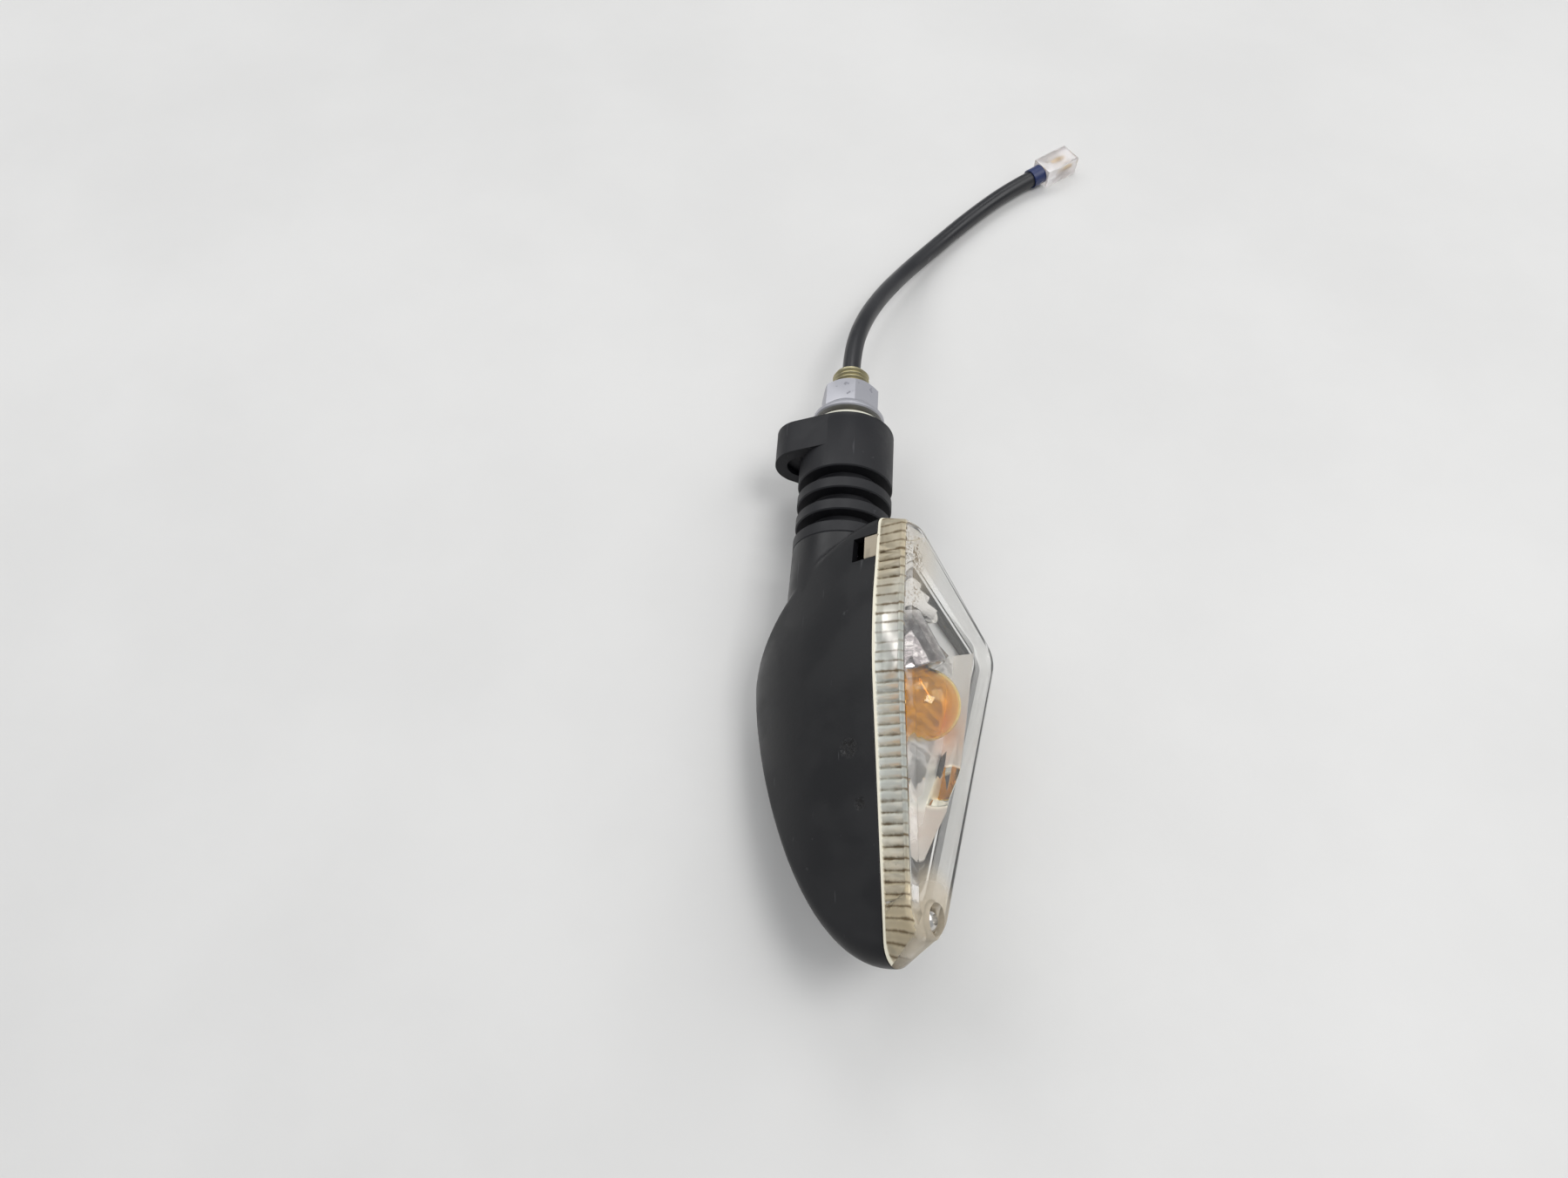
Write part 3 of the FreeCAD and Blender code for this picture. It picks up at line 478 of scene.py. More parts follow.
def tube(name: str, points: Sequence[Sequence[float]], radius: float, along: int, around: int) -> Piece:
    """A round cord along a smooth curve.

    Args:
        name: The piece's name.
        points: The curve's control points in the row frame's directions, in millimetres.
        radius: The cord's radius.
        along: Steps between two points.
        around: How finely its section is rounded.

    Returns:
        The curve's object.
    """
    curve = bpy.data.curves.new(name, "CURVE")
    curve.dimensions = "3D"
    spline = curve.splines.new("NURBS")
    spline.points.add(len(points) - 1)
    for point, spot in zip(spline.points, points):
        point.co = (*(Vector(spot) * MM), 1.0)
    spline.order_u = 3
    spline.use_endpoint_u = True
    spline.resolution_u = along
    curve.bevel_depth = radius * MM
    curve.bevel_resolution = around
    curve.use_fill_caps = True
    obj = bpy.data.objects.new(name, curve)
    bpy.context.scene.collection.objects.link(obj)
    LOG.info("%s: %d points", name, len(points))
    return obj


# ---- material tools -----------------------------------------------------------------
class Tree:
    """A node tree with short calls for what the finishes need."""

    def __init__(self, tree: bpy.types.NodeTree) -> None:
        """Starts on an empty tree."""
        self.tree = tree
        self.tree.nodes.clear()

    def feed(self, node: Node, inputs: dict) -> Node:
        """Links or sets the node's inputs, given by name or number."""
        for key, value in inputs.items():
            if isinstance(value, Socket):
                self.tree.links.new(value, node.inputs[key])
            else:
                node.inputs[key].default_value = value
        return node

    def node(self, kind: str, inputs: Optional[dict] = None, **properties: object) -> Node:
        """A new node with its properties and inputs."""
        made = self.tree.nodes.new(kind)
        for key, value in properties.items():
            setattr(made, key, value)
        return self.feed(made, inputs or {})

    def math(self, what: str, a: object, b: object = 0.0, clamp: bool = False) -> Socket:
        """A sum of two numbers or sockets."""
        return self.node("ShaderNodeMath", {0: a, 1: b}, operation=what, use_clamp=clamp).outputs[0]

    def noise(self, vector: Socket, scale: object, detail: float = 3.0, rough: float = 0.55) -> Socket:
        """A cloud of grey between 0 and 1."""
        inputs = {"Vector": vector, "Scale": scale, "Detail": detail, "Roughness": rough}
        return self.node("ShaderNodeTexNoise", inputs).outputs["Fac"]

    def span(self, value: Socket, low: float, high: float, to_low: float = 0.0, to_high: float = 1.0) -> Socket:
        """The value from one range moved into another, held at the ends."""
        inputs = {"Value": value, "From Min": low, "From Max": high, "To Min": to_low, "To Max": to_high}
        return self.node("ShaderNodeMapRange", inputs, interpolation_type="SMOOTHSTEP").outputs["Result"]

    def colour(self, amount: object, a: object, b: object) -> Socket:
        """A blend of two colours."""
        a, b = (c if isinstance(c, Socket) else (*c, 1.0) for c in (a, b))
        return self.node("ShaderNodeMix", {0: amount, 6: a, 7: b}, data_type="RGBA", clamp_factor=True).outputs[2]

    def where(self) -> Socket:
        """The piece's own coordinates, in metres."""
        return self.node("ShaderNodeTexCoord").outputs["Object"]

    def near(self, vector: Socket, centre: Vector, inner: float, outer: float) -> Socket:
        """A soft spot: 1 within inner of the centre, 0 past outer, in metres."""
        away = self.node("ShaderNodeVectorMath", {0: vector, 1: centre}, operation="DISTANCE")
        return self.span(away.outputs["Value"], inner, outer, 1.0, 0.0)

    def bump(self, height: Socket, strength: float, distance: float) -> Socket:
        """A normal from a height."""
        inputs = {"Height": height, "Strength": strength, "Distance": distance}
        return self.node("ShaderNodeBump", inputs).outputs["Normal"]

    def use(self, group: bpy.types.NodeTree, vector: Socket, scale: float, cover: Optional[float] = None) -> Node:
        """A shared group, placed with its own values."""
        inputs = {"Vector": vector, "Scale": scale} | ({} if cover is None else {"Cover": cover})
        return self.node("ShaderNodeGroup", inputs, node_tree=group)


def new_group(name: str, numbers: Iterable[str], outputs: Iterable[str]) -> tuple[Tree, dict, Node]:
    """An empty shared group.

    Args:
        name: The group's name.
        numbers: Its number inputs, which follow its Vector input.
        outputs: Its number outputs.

    Returns:
        The tree, its inputs by name and its output node.
    """
    group = bpy.data.node_groups.new(name, "ShaderNodeTree")
    group.interface.new_socket("Vector", in_out="INPUT", socket_type="NodeSocketVector")
    for way, words in (("INPUT", numbers), ("OUTPUT", outputs)):
        for word in words:
            group.interface.new_socket(word, in_out=way, socket_type="NodeSocketFloat")
    tree = Tree(group)
    ins = tree.node("NodeGroupInput")
    return tree, {s.name: s for s in ins.outputs}, tree.node("NodeGroupOutput")


class Effects:
    """The node groups that several finishes share."""

    def __init__(self) -> None:
        """Builds each group once."""
        self.grain = self._grain()
        self.grime = self._grime()
        self.scratches = self._scratches()

    def _grain(self) -> bpy.types.NodeTree:
        """Fine moulded grain over slow changes of tone."""
        tree, ins, outs = new_group("moulded_grain", ["Scale"], ["Height", "Tone"])
        fine = tree.noise(ins["Vector"], ins["Scale"], 4.0, 0.5)
        slow = tree.noise(ins["Vector"], tree.math("MULTIPLY", ins["Scale"], 0.06), 3.0, 0.5)
        tree.feed(outs, {"Height": fine, "Tone": tree.span(slow, 0.32, 0.7)})
        return tree.tree

    def _grime(self) -> bpy.types.NodeTree:
        """Specks of dirt gathered in patches. Cover is how much of the surface they take."""
        tree, ins, outs = new_group("dirt_specks", ["Scale", "Cover"], ["Specks", "Patches"])
        slow = tree.noise(ins["Vector"], tree.math("MULTIPLY", ins["Scale"], 0.12), 4.0, 0.5)
        fine = tree.noise(ins["Vector"], ins["Scale"], 2.0, 0.5)
        level = tree.math("SUBTRACT", 0.68, tree.math("MULTIPLY", ins["Cover"], 0.2))
        both = tree.math("ADD", tree.math("MULTIPLY", slow, 0.4), tree.math("MULTIPLY", fine, 0.6))
        specks = tree.math("MULTIPLY", tree.math("SUBTRACT", both, level), 18.0, clamp=True)
        tree.feed(outs, {"Specks": specks, "Patches": tree.span(slow, 0.4, 0.75)})
        return tree.tree

    def _scratches(self) -> bpy.types.NodeTree:
        """Short pale scratches that run one way."""
        tree, ins, outs = new_group("handling_scratches", ["Scale", "Cover"], ["Scratches"])
        thin = {"Vector": ins["Vector"], "Rotation": (0.3, 0.9, 0.4), "Scale": (1.0, 0.06, 1.0)}
        lines = tree.noise(tree.node("ShaderNodeMapping", thin).outputs["Vector"], ins["Scale"], 2.0, 0.5)
        level = tree.math("SUBTRACT", 0.75, tree.math("MULTIPLY", ins["Cover"], 0.25))
        sharp = tree.math("MULTIPLY", tree.math("SUBTRACT", lines, level), 20.0, clamp=True)
        tree.feed(outs, {"Scratches": sharp})
        return tree.tree


EFFECTS = Effects()


def new_material(name: str) -> tuple[Material, Tree, Node]:
    """A material with one Principled shader.

    Args:
        name: The material's name.

    Returns:
        The material, its tree and the shader.
    """
    material = bpy.data.materials.new(name)
    material.use_nodes = True
    tree = Tree(material.node_tree)
    shader = tree.node("ShaderNodeBsdfPrincipled")
    tree.node("ShaderNodeOutputMaterial", {"Surface": shader.outputs[0]})
    return material, tree, shader


@dataclass(frozen=True)
class Moulded:
    """A solid moulded plastic or rubber: dull, with grain, dust and scratches."""

    name: str
    colour: Colour
    worn: Colour
    rough: float = 0.5
    grain: float = 1400.0
    depth: float = 0.00003
    dust: float = 0.25
    scratches: float = 0.15
    specular: float = 0.5
    spots: tuple[Spot, ...] = ()
    spot_colour: Colour = (0.002, 0.0015, 0.001)
    spot_depth: float = 14.0

    def make(self) -> Material:
        """Builds the material."""
        material, tree, shader = new_material(self.name)
        where = tree.where()
        grain = tree.use(EFFECTS.grain, where, self.grain)
        grime = tree.use(EFFECTS.grime, where, self.grain * 0.35, self.dust)
        lines = tree.use(EFFECTS.scratches, where, self.grain * 0.5, self.scratches)
        base = tree.colour(tree.math("MULTIPLY", grain.outputs["Tone"], 0.35), self.colour, self.worn)
        marks = tree.math("MAXIMUM", grime.outputs["Specks"], lines.outputs["Scratches"])
        dusty = tuple(min(1.0, c * 2.6 + 0.01) for c in self.worn)
        base = tree.colour(tree.math("MULTIPLY", marks, 0.8), base, dusty)
        height = tree.math("ADD", grain.outputs["Height"], tree.math("MULTIPLY", marks, -0.6))
        for spot in self.spots:
            ragged = tree.span(tree.noise(where, self.grain * 0.8, 4.0, 0.7), 0.42, 0.54)
            gouge = tree.math("MULTIPLY", tree.near(where, *spot), ragged)
            base = tree.colour(gouge, base, self.spot_colour)
            height = tree.math("SUBTRACT", height, tree.math("MULTIPLY", gouge, self.spot_depth))
        rough = tree.span(grain.outputs["Tone"], 0.0, 1.0, self.rough - 0.06, self.rough + 0.08)
        normal = tree.bump(height, 0.6, self.depth)
        tree.feed(shader, {"Base Color": base, "Roughness": rough, "Normal": normal})
        tree.feed(shader, {"Specular IOR Level": self.specular})
        return material


@dataclass(frozen=True)
class Metal:
    """A plated or bare metal, with tarnish in patches."""

    name: str
    colour: Colour
    tarnish: Colour
    rough: float = 0.3
    grain: float = 1200.0
    depth: float = 0.00002
    cover: float = 0.4

    def make(self) -> Material:
        """Builds the material."""
        material, tree, shader = new_material(self.name)
        where = tree.where()
        grain = tree.use(EFFECTS.grain, where, self.grain)
        grime = tree.use(EFFECTS.grime, where, self.grain * 0.5, self.cover)
        dull = tree.math("MAXIMUM", tree.math("MULTIPLY", grain.outputs["Tone"], 0.5), grime.outputs["Specks"])
        rough = tree.span(dull, 0.0, 1.0, self.rough, min(0.85, self.rough + 0.3))
        normal = tree.bump(grain.outputs["Height"], 0.5, self.depth)
        base = tree.colour(dull, self.colour, self.tarnish)
        tree.feed(shader, {"Metallic": 1.0, "Base Color": base, "Roughness": rough, "Normal": normal})
        return material


def through_glass(tree: Tree, shader: Node, passes: Colour, mask: Socket, coat: Node) -> None:
    """Lets lamps through a glass shader, and lays an opaque coat over part of it.

    Args:
        tree: The material's tree.
        shader: The glass shader.
        passes: The colour of the light that passes.
        mask: Where the coat lies.
        coat: The opaque shader.
    """
    shadow = tree.node("ShaderNodeLightPath").outputs["Is Shadow Ray"]
    clear = tree.node("ShaderNodeBsdfTransparent", {"Color": (*passes, 1.0)})
    glass = tree.node("ShaderNodeMixShader", {0: shadow, 1: shader.outputs[0], 2: clear.outputs[0]})
    both = tree.node("ShaderNodeMixShader", {0: mask, 1: glass.outputs[0], 2: coat.outputs[0]})
    out = next(n for n in tree.tree.nodes if n.type == "OUTPUT_MATERIAL")
    tree.feed(out, {"Surface": both.outputs[0]})


@dataclass(frozen=True)
class Clear:
    """Clear moulded plastic or glass, with an opaque coat in some places: dirt, and on the lens's front edge a pale
    painted highlight.
    """

    name: str
    colour: Colour = (0.99, 0.99, 0.98)
    passes: Colour = (0.95, 0.95, 0.93)
    # The opaque coat's colour: dirt on the lens, milky on the connector, a painted highlight's pale colour on the
    # lens's edge band.
    dirt: Colour = (0.16, 0.12, 0.07)
    rough: float = 0.02
    ior: float = 1.49
    cover: float = 0.2
    grain: float = 900.0
    film: float = 0.02
    wave: float = 0.00002
    zones: tuple[Spot, ...] = ()
    hazes: tuple[tuple[Vector, float, float, float], ...] = ()
    haze: Colour = (0.60, 0.53, 0.42)

    def make(self) -> Material:
        """Builds the material."""
        material, tree, shader = new_material(self.name)
        where = tree.where()
        tree.feed(shader, {"Base Color": (*self.colour, 1.0), "Transmission Weight": 1.0})
        normal = tree.bump(tree.noise(where, 90.0, 2.0), 0.4, self.wave)
        tree.feed(shader, {"Roughness": self.rough, "IOR": self.ior, "Normal": normal})
        grime = tree.use(EFFECTS.grime, where, self.grain, self.cover)
        mask = tree.math("MULTIPLY", grime.outputs["Patches"], self.film)
        specks = 0.0
        for spot in self.zones:
            there = tree.math("MULTIPLY", tree.near(where, *spot), grime.outputs["Specks"])
            specks = tree.math("MAXIMUM", specks, there)
        for *spot, amount in self.hazes:
            mask = tree.math("MAXIMUM", mask, tree.math("MULTIPLY", tree.near(where, *spot), amount))
        tint = tree.colour(specks, self.haze if self.hazes else self.dirt, self.dirt)
        coat = tree.node("ShaderNodeBsdfDiffuse", {"Color": tint, "Roughness": 0.5})
        through_glass(tree, shader, self.passes, tree.math("MAXIMUM", mask, specks), coat)
        return material


@dataclass(frozen=True)
class RibbedWall:
    """The lens's side wall: frosted by age, cream at both ends and greener between, dirty and darkened with painted
    shade in its valleys, with a painted highlight along its foot.
    """

    name: str
    pale: Colour = (0.74, 0.65, 0.47)
    green: Colour = (0.78, 0.81, 0.74)
    # Colour of the valleys: dirt, and painted shade in the ribs' valleys.
    dirt: Colour = (0.15, 0.11, 0.065)
    # Colour of a painted highlight along the wall's foot.
    painted_rim_highlight: Colour = (0.95, 0.90, 0.74)
    passes: Colour = (0.86, 0.84, 0.76)
    frost: float = 0.36
    middle_y: float = -0.090

    def make(self) -> Material:
        """Builds the material."""
        material, tree, shader = new_material(self.name)
        where = tree.where()
        along = tree.node("ShaderNodeSeparateXYZ", {"Vector": where}).outputs["Y"]
        out = tree.node("ShaderNodeVectorMath", {0: where, 1: LAMP.col[0][:3]}, operation="DOT_PRODUCT")
        height = tree.math("SUBTRACT", out.outputs["Value"], LensCover.low * MM)
        patches = tree.noise(where, 120.0, 3.0)
        middle = tree.math("ABSOLUTE", tree.math("SUBTRACT", along, self.middle_y))
        ends = tree.span(tree.math("ADD", middle, tree.math("MULTIPLY", patches, 0.02)), 0.024, 0.048)
        foot = tree.math("ADD", along, tree.math("MULTIPLY", height, LensCover.slant))
        ridge = tree.math("SINE", tree.math("MULTIPLY", foot, math.pi / (LensCover.pitch * MM)))
        ragged = tree.noise(where, 380.0, 5.0, 0.7)
        rough_edge = tree.math("MULTIPLY", tree.math("SUBTRACT", ragged, 0.5), 1.3)
        # Darker in the ribs' valleys: partly dirt, partly painted shade.
        valley = tree.span(tree.math("ADD", tree.math("ABSOLUTE", ridge), rough_edge), 0.0, 0.78, 1.0, 0.0)
        heavy = tree.span(tree.math("ADD", patches, tree.math("MULTIPLY", ends, 0.2)), 0.34, 0.60, 0.6, 1.0)
        specks = tree.use(EFFECTS.grime, where, 1500.0, 0.1).outputs["Specks"]
        dirt_and_valley_shade = tree.math("MAXIMUM", tree.math("MULTIPLY", valley, heavy), tree.math("MULTIPLY", specks, 0.9))
        # A narrow band along the wall's foot: a painted highlight.
        rim = tree.span(height, 0.0006, 0.0009, 1.0, 0.0)
        dirt_and_valley_shade = tree.math("MULTIPLY", dirt_and_valley_shade, tree.math("SUBTRACT", 1.0, rim))
        tint = tree.colour(rim, tree.colour(ends, self.green, self.pale), self.painted_rim_highlight)
        coat = tree.node("ShaderNodeBsdfDiffuse", {"Color": tree.colour(dirt_and_valley_shade, tint, self.dirt)})
        tree.feed(shader, {"Transmission Weight": 1.0, "Roughness": 0.3, "IOR": 1.49})
        tree.feed(shader, {"Base Color": tint, "Normal": tree.bump(ragged, 0.5, 0.00006)})
        mask = tree.math("ADD", tree.math("MULTIPLY", dirt_and_valley_shade, 0.6), tree.math("MULTIPLY", rim, 0.5))
        through_glass(tree, shader, self.passes, tree.math("ADD", mask, self.frost, clamp=True), coat)
        return material


@dataclass(frozen=True)
class Silvered:
    """The reflector's metal film, a little wavy and dusty, with zones of painted colour: painted shade around the
    bulb's neck and painted amber light towards the tip.
    """

    name: str
    colour: Colour = (0.90, 0.87, 0.84)
    speck_colour: Colour = (0.30, 0.27, 0.25)
    zones: tuple[tuple[Vector, float, float, Colour], ...] = ()
    smooth_spot: Optional[Spot] = None
    spot_colour: Colour = (0.98, 0.94, 0.80)
    wave: float = 0.0002

    def make(self) -> Material:
        """Builds the material."""
        material, tree, shader = new_material(self.name)
        where = tree.where()
        grime = tree.use(EFFECTS.grime, where, 1400.0, 0.1)
        base = tree.colour(tree.math("MULTIPLY", grime.outputs["Specks"], 0.7), self.colour, self.speck_colour)
        mottled = tree.span(tree.noise(where, 420.0, 5.0, 0.7), 0.3, 0.6, 0.6, 1.0)
        # On the film these zones are painted shade around the bulb's neck and painted amber light towards the tip,
        # mottled.
        for *spot, colour in self.zones:
            base = tree.colour(tree.math("MULTIPLY", tree.near(where, *spot), mottled), base, colour)
        rough = tree.span(grime.outputs["Patches"], 0.0, 1.0, 0.06, 0.16)
        if self.smooth_spot is not None:
            there = tree.near(where, *self.smooth_spot)
            base = tree.colour(there, base, self.spot_colour)
            rough = tree.span(there, 0.0, 1.0, 0.75, 0.03)
        normal = tree.bump(tree.noise(where, 160.0, 2.0), 0.35, self.wave)
        tree.feed(shader, {"Metallic": 1.0, "Base Color": base, "Roughness": rough, "Normal": normal})
        return material


# ---- sub-assemblies -----------------------------------------------------------------
RIM: tuple[Corner, ...] = (
    (-39.9, 13.3, 3.0), (-70.5, 15.2, 120.0), (-141.5, 5.6, 5.0),
    (-137.5, -6.3, 12.0), (-57.0, -34.5, 7.0), (-39.2, 3.0, 9.0),
)
PARTING_X = 19.0
TAB_Y = -48.2
SCREW_SPOT = (-130.4, -0.5)
FIXING_SPOTS = ((-54.1, -13.0, 10.0), (-119.0, 0.2, 19.0))


@dataclass
class Bowl:
    """The black housing: a moulded bowl that grows out of a round neck."""

    depth: float = 38.5
    wall: float = 2.0
    centre: tuple[float, float] = (-90.0, -8.6)
    neck_start_y: float = -39.0
    neck_length: float = 21.0
    neck_start_r: float = 12.3
    neck_end_r: float = 12.8
    steps: int = 36

    def levels(self) -> list[Level]:
        """The bowl's steps from the parting line to its back."""
        found = []
        for i in range(1, self.steps + 1):
            t = 0.992 * math.sin(i / self.steps * math.pi / 2)
            scale = (1 - t**1.93) ** 0.78
            found.append(Level(PARTING_X - self.depth * t, scale, 16.0 * t**2.7, 13.4 * t**1.83))
        return found

    def blank(self) -> Mesh:
        """The bowl and neck as one closed solid that stands proud of the parting line."""
        bm = rounded(RIM, PARTING_X, 10)
        sunk(bm, self.levels(), self.centre, PARTING_X)
        top = [f for f in bm.faces if all(abs(v.co.x - PARTING_X) < 1e-5 for v in f.verts)]
        grown = bmesh.ops.extrude_face_region(bm, geom=top)["geom"]
        bmesh.ops.delete(bm, geom=top, context="FACES_ONLY")
        bmesh.ops.translate(bm, verts=verts_in(grown), vec=(4, 0, 0))
        bmesh.ops.recalc_face_normals(bm, faces=bm.faces)
        start, end = self.neck_start_y + 3, self.neck_start_y - self.neck_length
        neck = turned([(end, 0), (end, self.neck_end_r), (start, self.neck_start_r), (start, 0)])
        return joined(bm, neck, Join.ADD)

    def build(self) -> Piece:
        """The open shell with its tab notch."""
        bm = trimmed(moulded(self.blank(), 0.5, 2), ((PARTING_X, 0, 0), X), ((0, self.neck_start_y, 0), Y))
        bm = joined(thickened(bm, self.wall), box((16.4, TAB_Y, 13.5), (7.4, 6.4, 8)), Join.CUT)
        return settled(bm, "housing_shell", Place.LAMP, 40)

    def posts(self) -> Piece:
        """The posts, the ledge and the bulkhead inside the bowl."""
        solids = []
        for y, z, length in FIXING_SPOTS:
            solids.append(joined(peg(2.6, 15.7 - length, (y, z), length), peg(1.27, 9.0, (y, z), 8), Join.CUT))
        solids.append(joined(peg(4.0, -6.0, SCREW_SPOT, 22.6, 48), peg(2.9, 8.6, SCREW_SPOT, 9, 48), Join.CUT))
        solids.append(joined(slab(inset(RIM, 1.6), 15.4, 16.8), slab(inset(RIM, 4.4), 15, 17.2), Join.CUT))
        solids.append(joined(rod(11.6, (0, -41.4, 0), Y, 2.2, 64), rod(5.7, (0, -42, 0), Y, 4, 64), Join.CUT))
        room = moulded(self.blank(), 0.8, 6)
        room.normal_update()
        for vert in room.verts:
            vert.co -= vert.normal * (self.wall * 0.5)
        return settled(joined(merged(*solids), room, Join.KEEP), "housing_posts", Place.LAMP)


@dataclass
class LensCover:
    """The clear lens: a flat front, ribbed walls, a skirt, a tab and the screw's pad."""

    front: tuple[Corner, ...] = (
        (-44.2, 14.9, 2.5), (-75.0, 15.1, 120.0), (-135.0, 9.8, 6.0),
        (-134.0, -4.0, 8.0), (-60.5, -30.0, 5.0), (-42.2, 7.0, 7.0),
    )
    low: float = 19.3
    top: float = 27.5
    wall: float = 1.8
    pitch: float = 2.3
    rib_depth: float = 0.75
    slant: float = 0.18
    ribs_from: float = -131.5
    ribs_to: float = -47.5
    rib_fade: float = 4.0
    edge_r: float = 1.2
    edge_step: float = 0.3

    def face_at(self, shrink: float, x: float) -> Mesh:
        """A flat face across the lens, between the rim's outline and the front's, with many points along
        its upper side."""
        share = (x - self.low) / (self.top - self.low)
        pairs = zip(inset(RIM, shrink), inset(self.front, shrink))
        bm = rounded([tuple(a + (b - a) * share for a, b in zip(low, high)) for low, high in pairs], x)
        upper = [e for e in bm.edges if e.calc_length() > 12 and min(v.co.z for v in e.verts) > 0]
        for edge in sorted(upper, key=lambda e: -max(v.co.y for v in e.verts)):
            bmesh.ops.subdivide_edges(bm, edges=[edge], cuts=86 if edge.calc_length() < 30 else 210)
        return bm

    def ring(self, shrink: float, x: float, ribs: float) -> Mesh:
        """A flat face across the lens, with ribs of this depth along its upper side.

        Args:
            shrink: How far inside the outer wall its edge lies.
            x: Its height.
            ribs: The depth of the valleys between its ribs.

        Returns:
            The face, whose vertices keep one order at every height.
        """
        bm = self.face_at(shrink, x)
        start = self.face_at(shrink, self.low)
        feet = [v.co.y for v in start.verts]
        start.free()
        line = sorted((v.co.y, v.co.z) for v in bm.verts if v.co.z > 2)
        for foot, vert in zip(feet, list(bm.verts)):
            if vert.co.z < 2 or not self.ribs_from < foot < self.ribs_to:
                continue
            fade = min(1.0, (foot - self.ribs_from) / self.rib_fade, (self.ribs_to - foot) / self.rib_fade)
            y = vert.co.y + (foot - self.slant * (x - self.low) - vert.co.y) * fade
            after = next(i for i, spot in enumerate(line) if spot[0] > y)
            (y0, z0), (y1, z1) = line[after - 1], line[after]
            z = z0 + (z1 - z0) * (y - y0) / (y1 - y0)
            valley = 1 - abs(math.sin(math.pi * foot / self.pitch))
            vert.co = (x, y, z - ribs * fade * valley)
        return bm

    def shell(self) -> Mesh:
        """The walls, skirt and front as one closed solid that is open underneath."""
        low, top, rib = self.low, self.top, self.rib_depth
        steps = [(self.wall, low + 1.4, 0.0), (4.0, low + 0.9, 0.0), (4.0, 18.0, 0.0), (3.9, 17.9, 0.0)]
        steps += [(3.2, 17.9, 0.0), (3.1, 18.0, 0.0), (3.1, low, 0.0), (0.0, low, 0.0), (0.0, low + 0.7, 0.0)]
        steps += [(0.0, low + 0.9, rib), (0.0, top - 1.5, rib), (0.0, top - 1.25, 0.0)]
        for angle in (22.5, 45.0, 67.5, 90.0):
            turn = math.radians(angle)
            drop = self.edge_step + self.edge_r * (1 - math.sin(turn))
            steps.append((self.edge_r * (1 - math.cos(turn)), top - drop, 0.0))
        steps.append((3.6, top, 0.0))
        bm = self.ring(self.wall, top - 2.0, 0.0)
        bmesh.ops.contextual_create(bm, geom=walled(bm, (self.ring(*step) for step in steps)))
        bmesh.ops.recalc_face_normals(bm, faces=bm.faces)
        return bm

    def build(self) -> Piece:
        """The whole lens, its ribbed wall and the band on its front's upper edge, which carries a painted
        highlight, marked for their own finishes.
        """
        bm = joined(self.shell(), peg(4.0, 16.9, SCREW_SPOT, 9.4, 48), Join.ADD)
        bm = joined(bm, softened(box((18.0, TAB_Y, 12.95), (4.6, 5.8, 1.5)), 0.25), Join.ADD)
        bm = joined(bm, peg(3.3, 25.2, SCREW_SPOT, 5, 48), Join.CUT)
        bm = joined(bm, peg(2.3, 10.0, SCREW_SPOT, 20, 48), Join.CUT)
        for face in bm.faces:
            middle = face.calc_center_median()
            wall = face.normal.z > 0.3 and middle.z > 1 and self.low - 0.1 < middle.x < self.top - 0.12
            pad = (middle.yz - Vector(SCREW_SPOT)).length < 4.1 and middle.x < self.top - 2.1
            # The band on the front's upper edge, which carries a painted highlight.
            edge = self.top - 0.29 < middle.x < self.top - 0.01 and middle.z > 6 and face.normal.x > 0.9
            face.material_index = 2 if edge else int(wall or pad)
        return settled(bm, "lens_cover", Place.LAMP, 30)


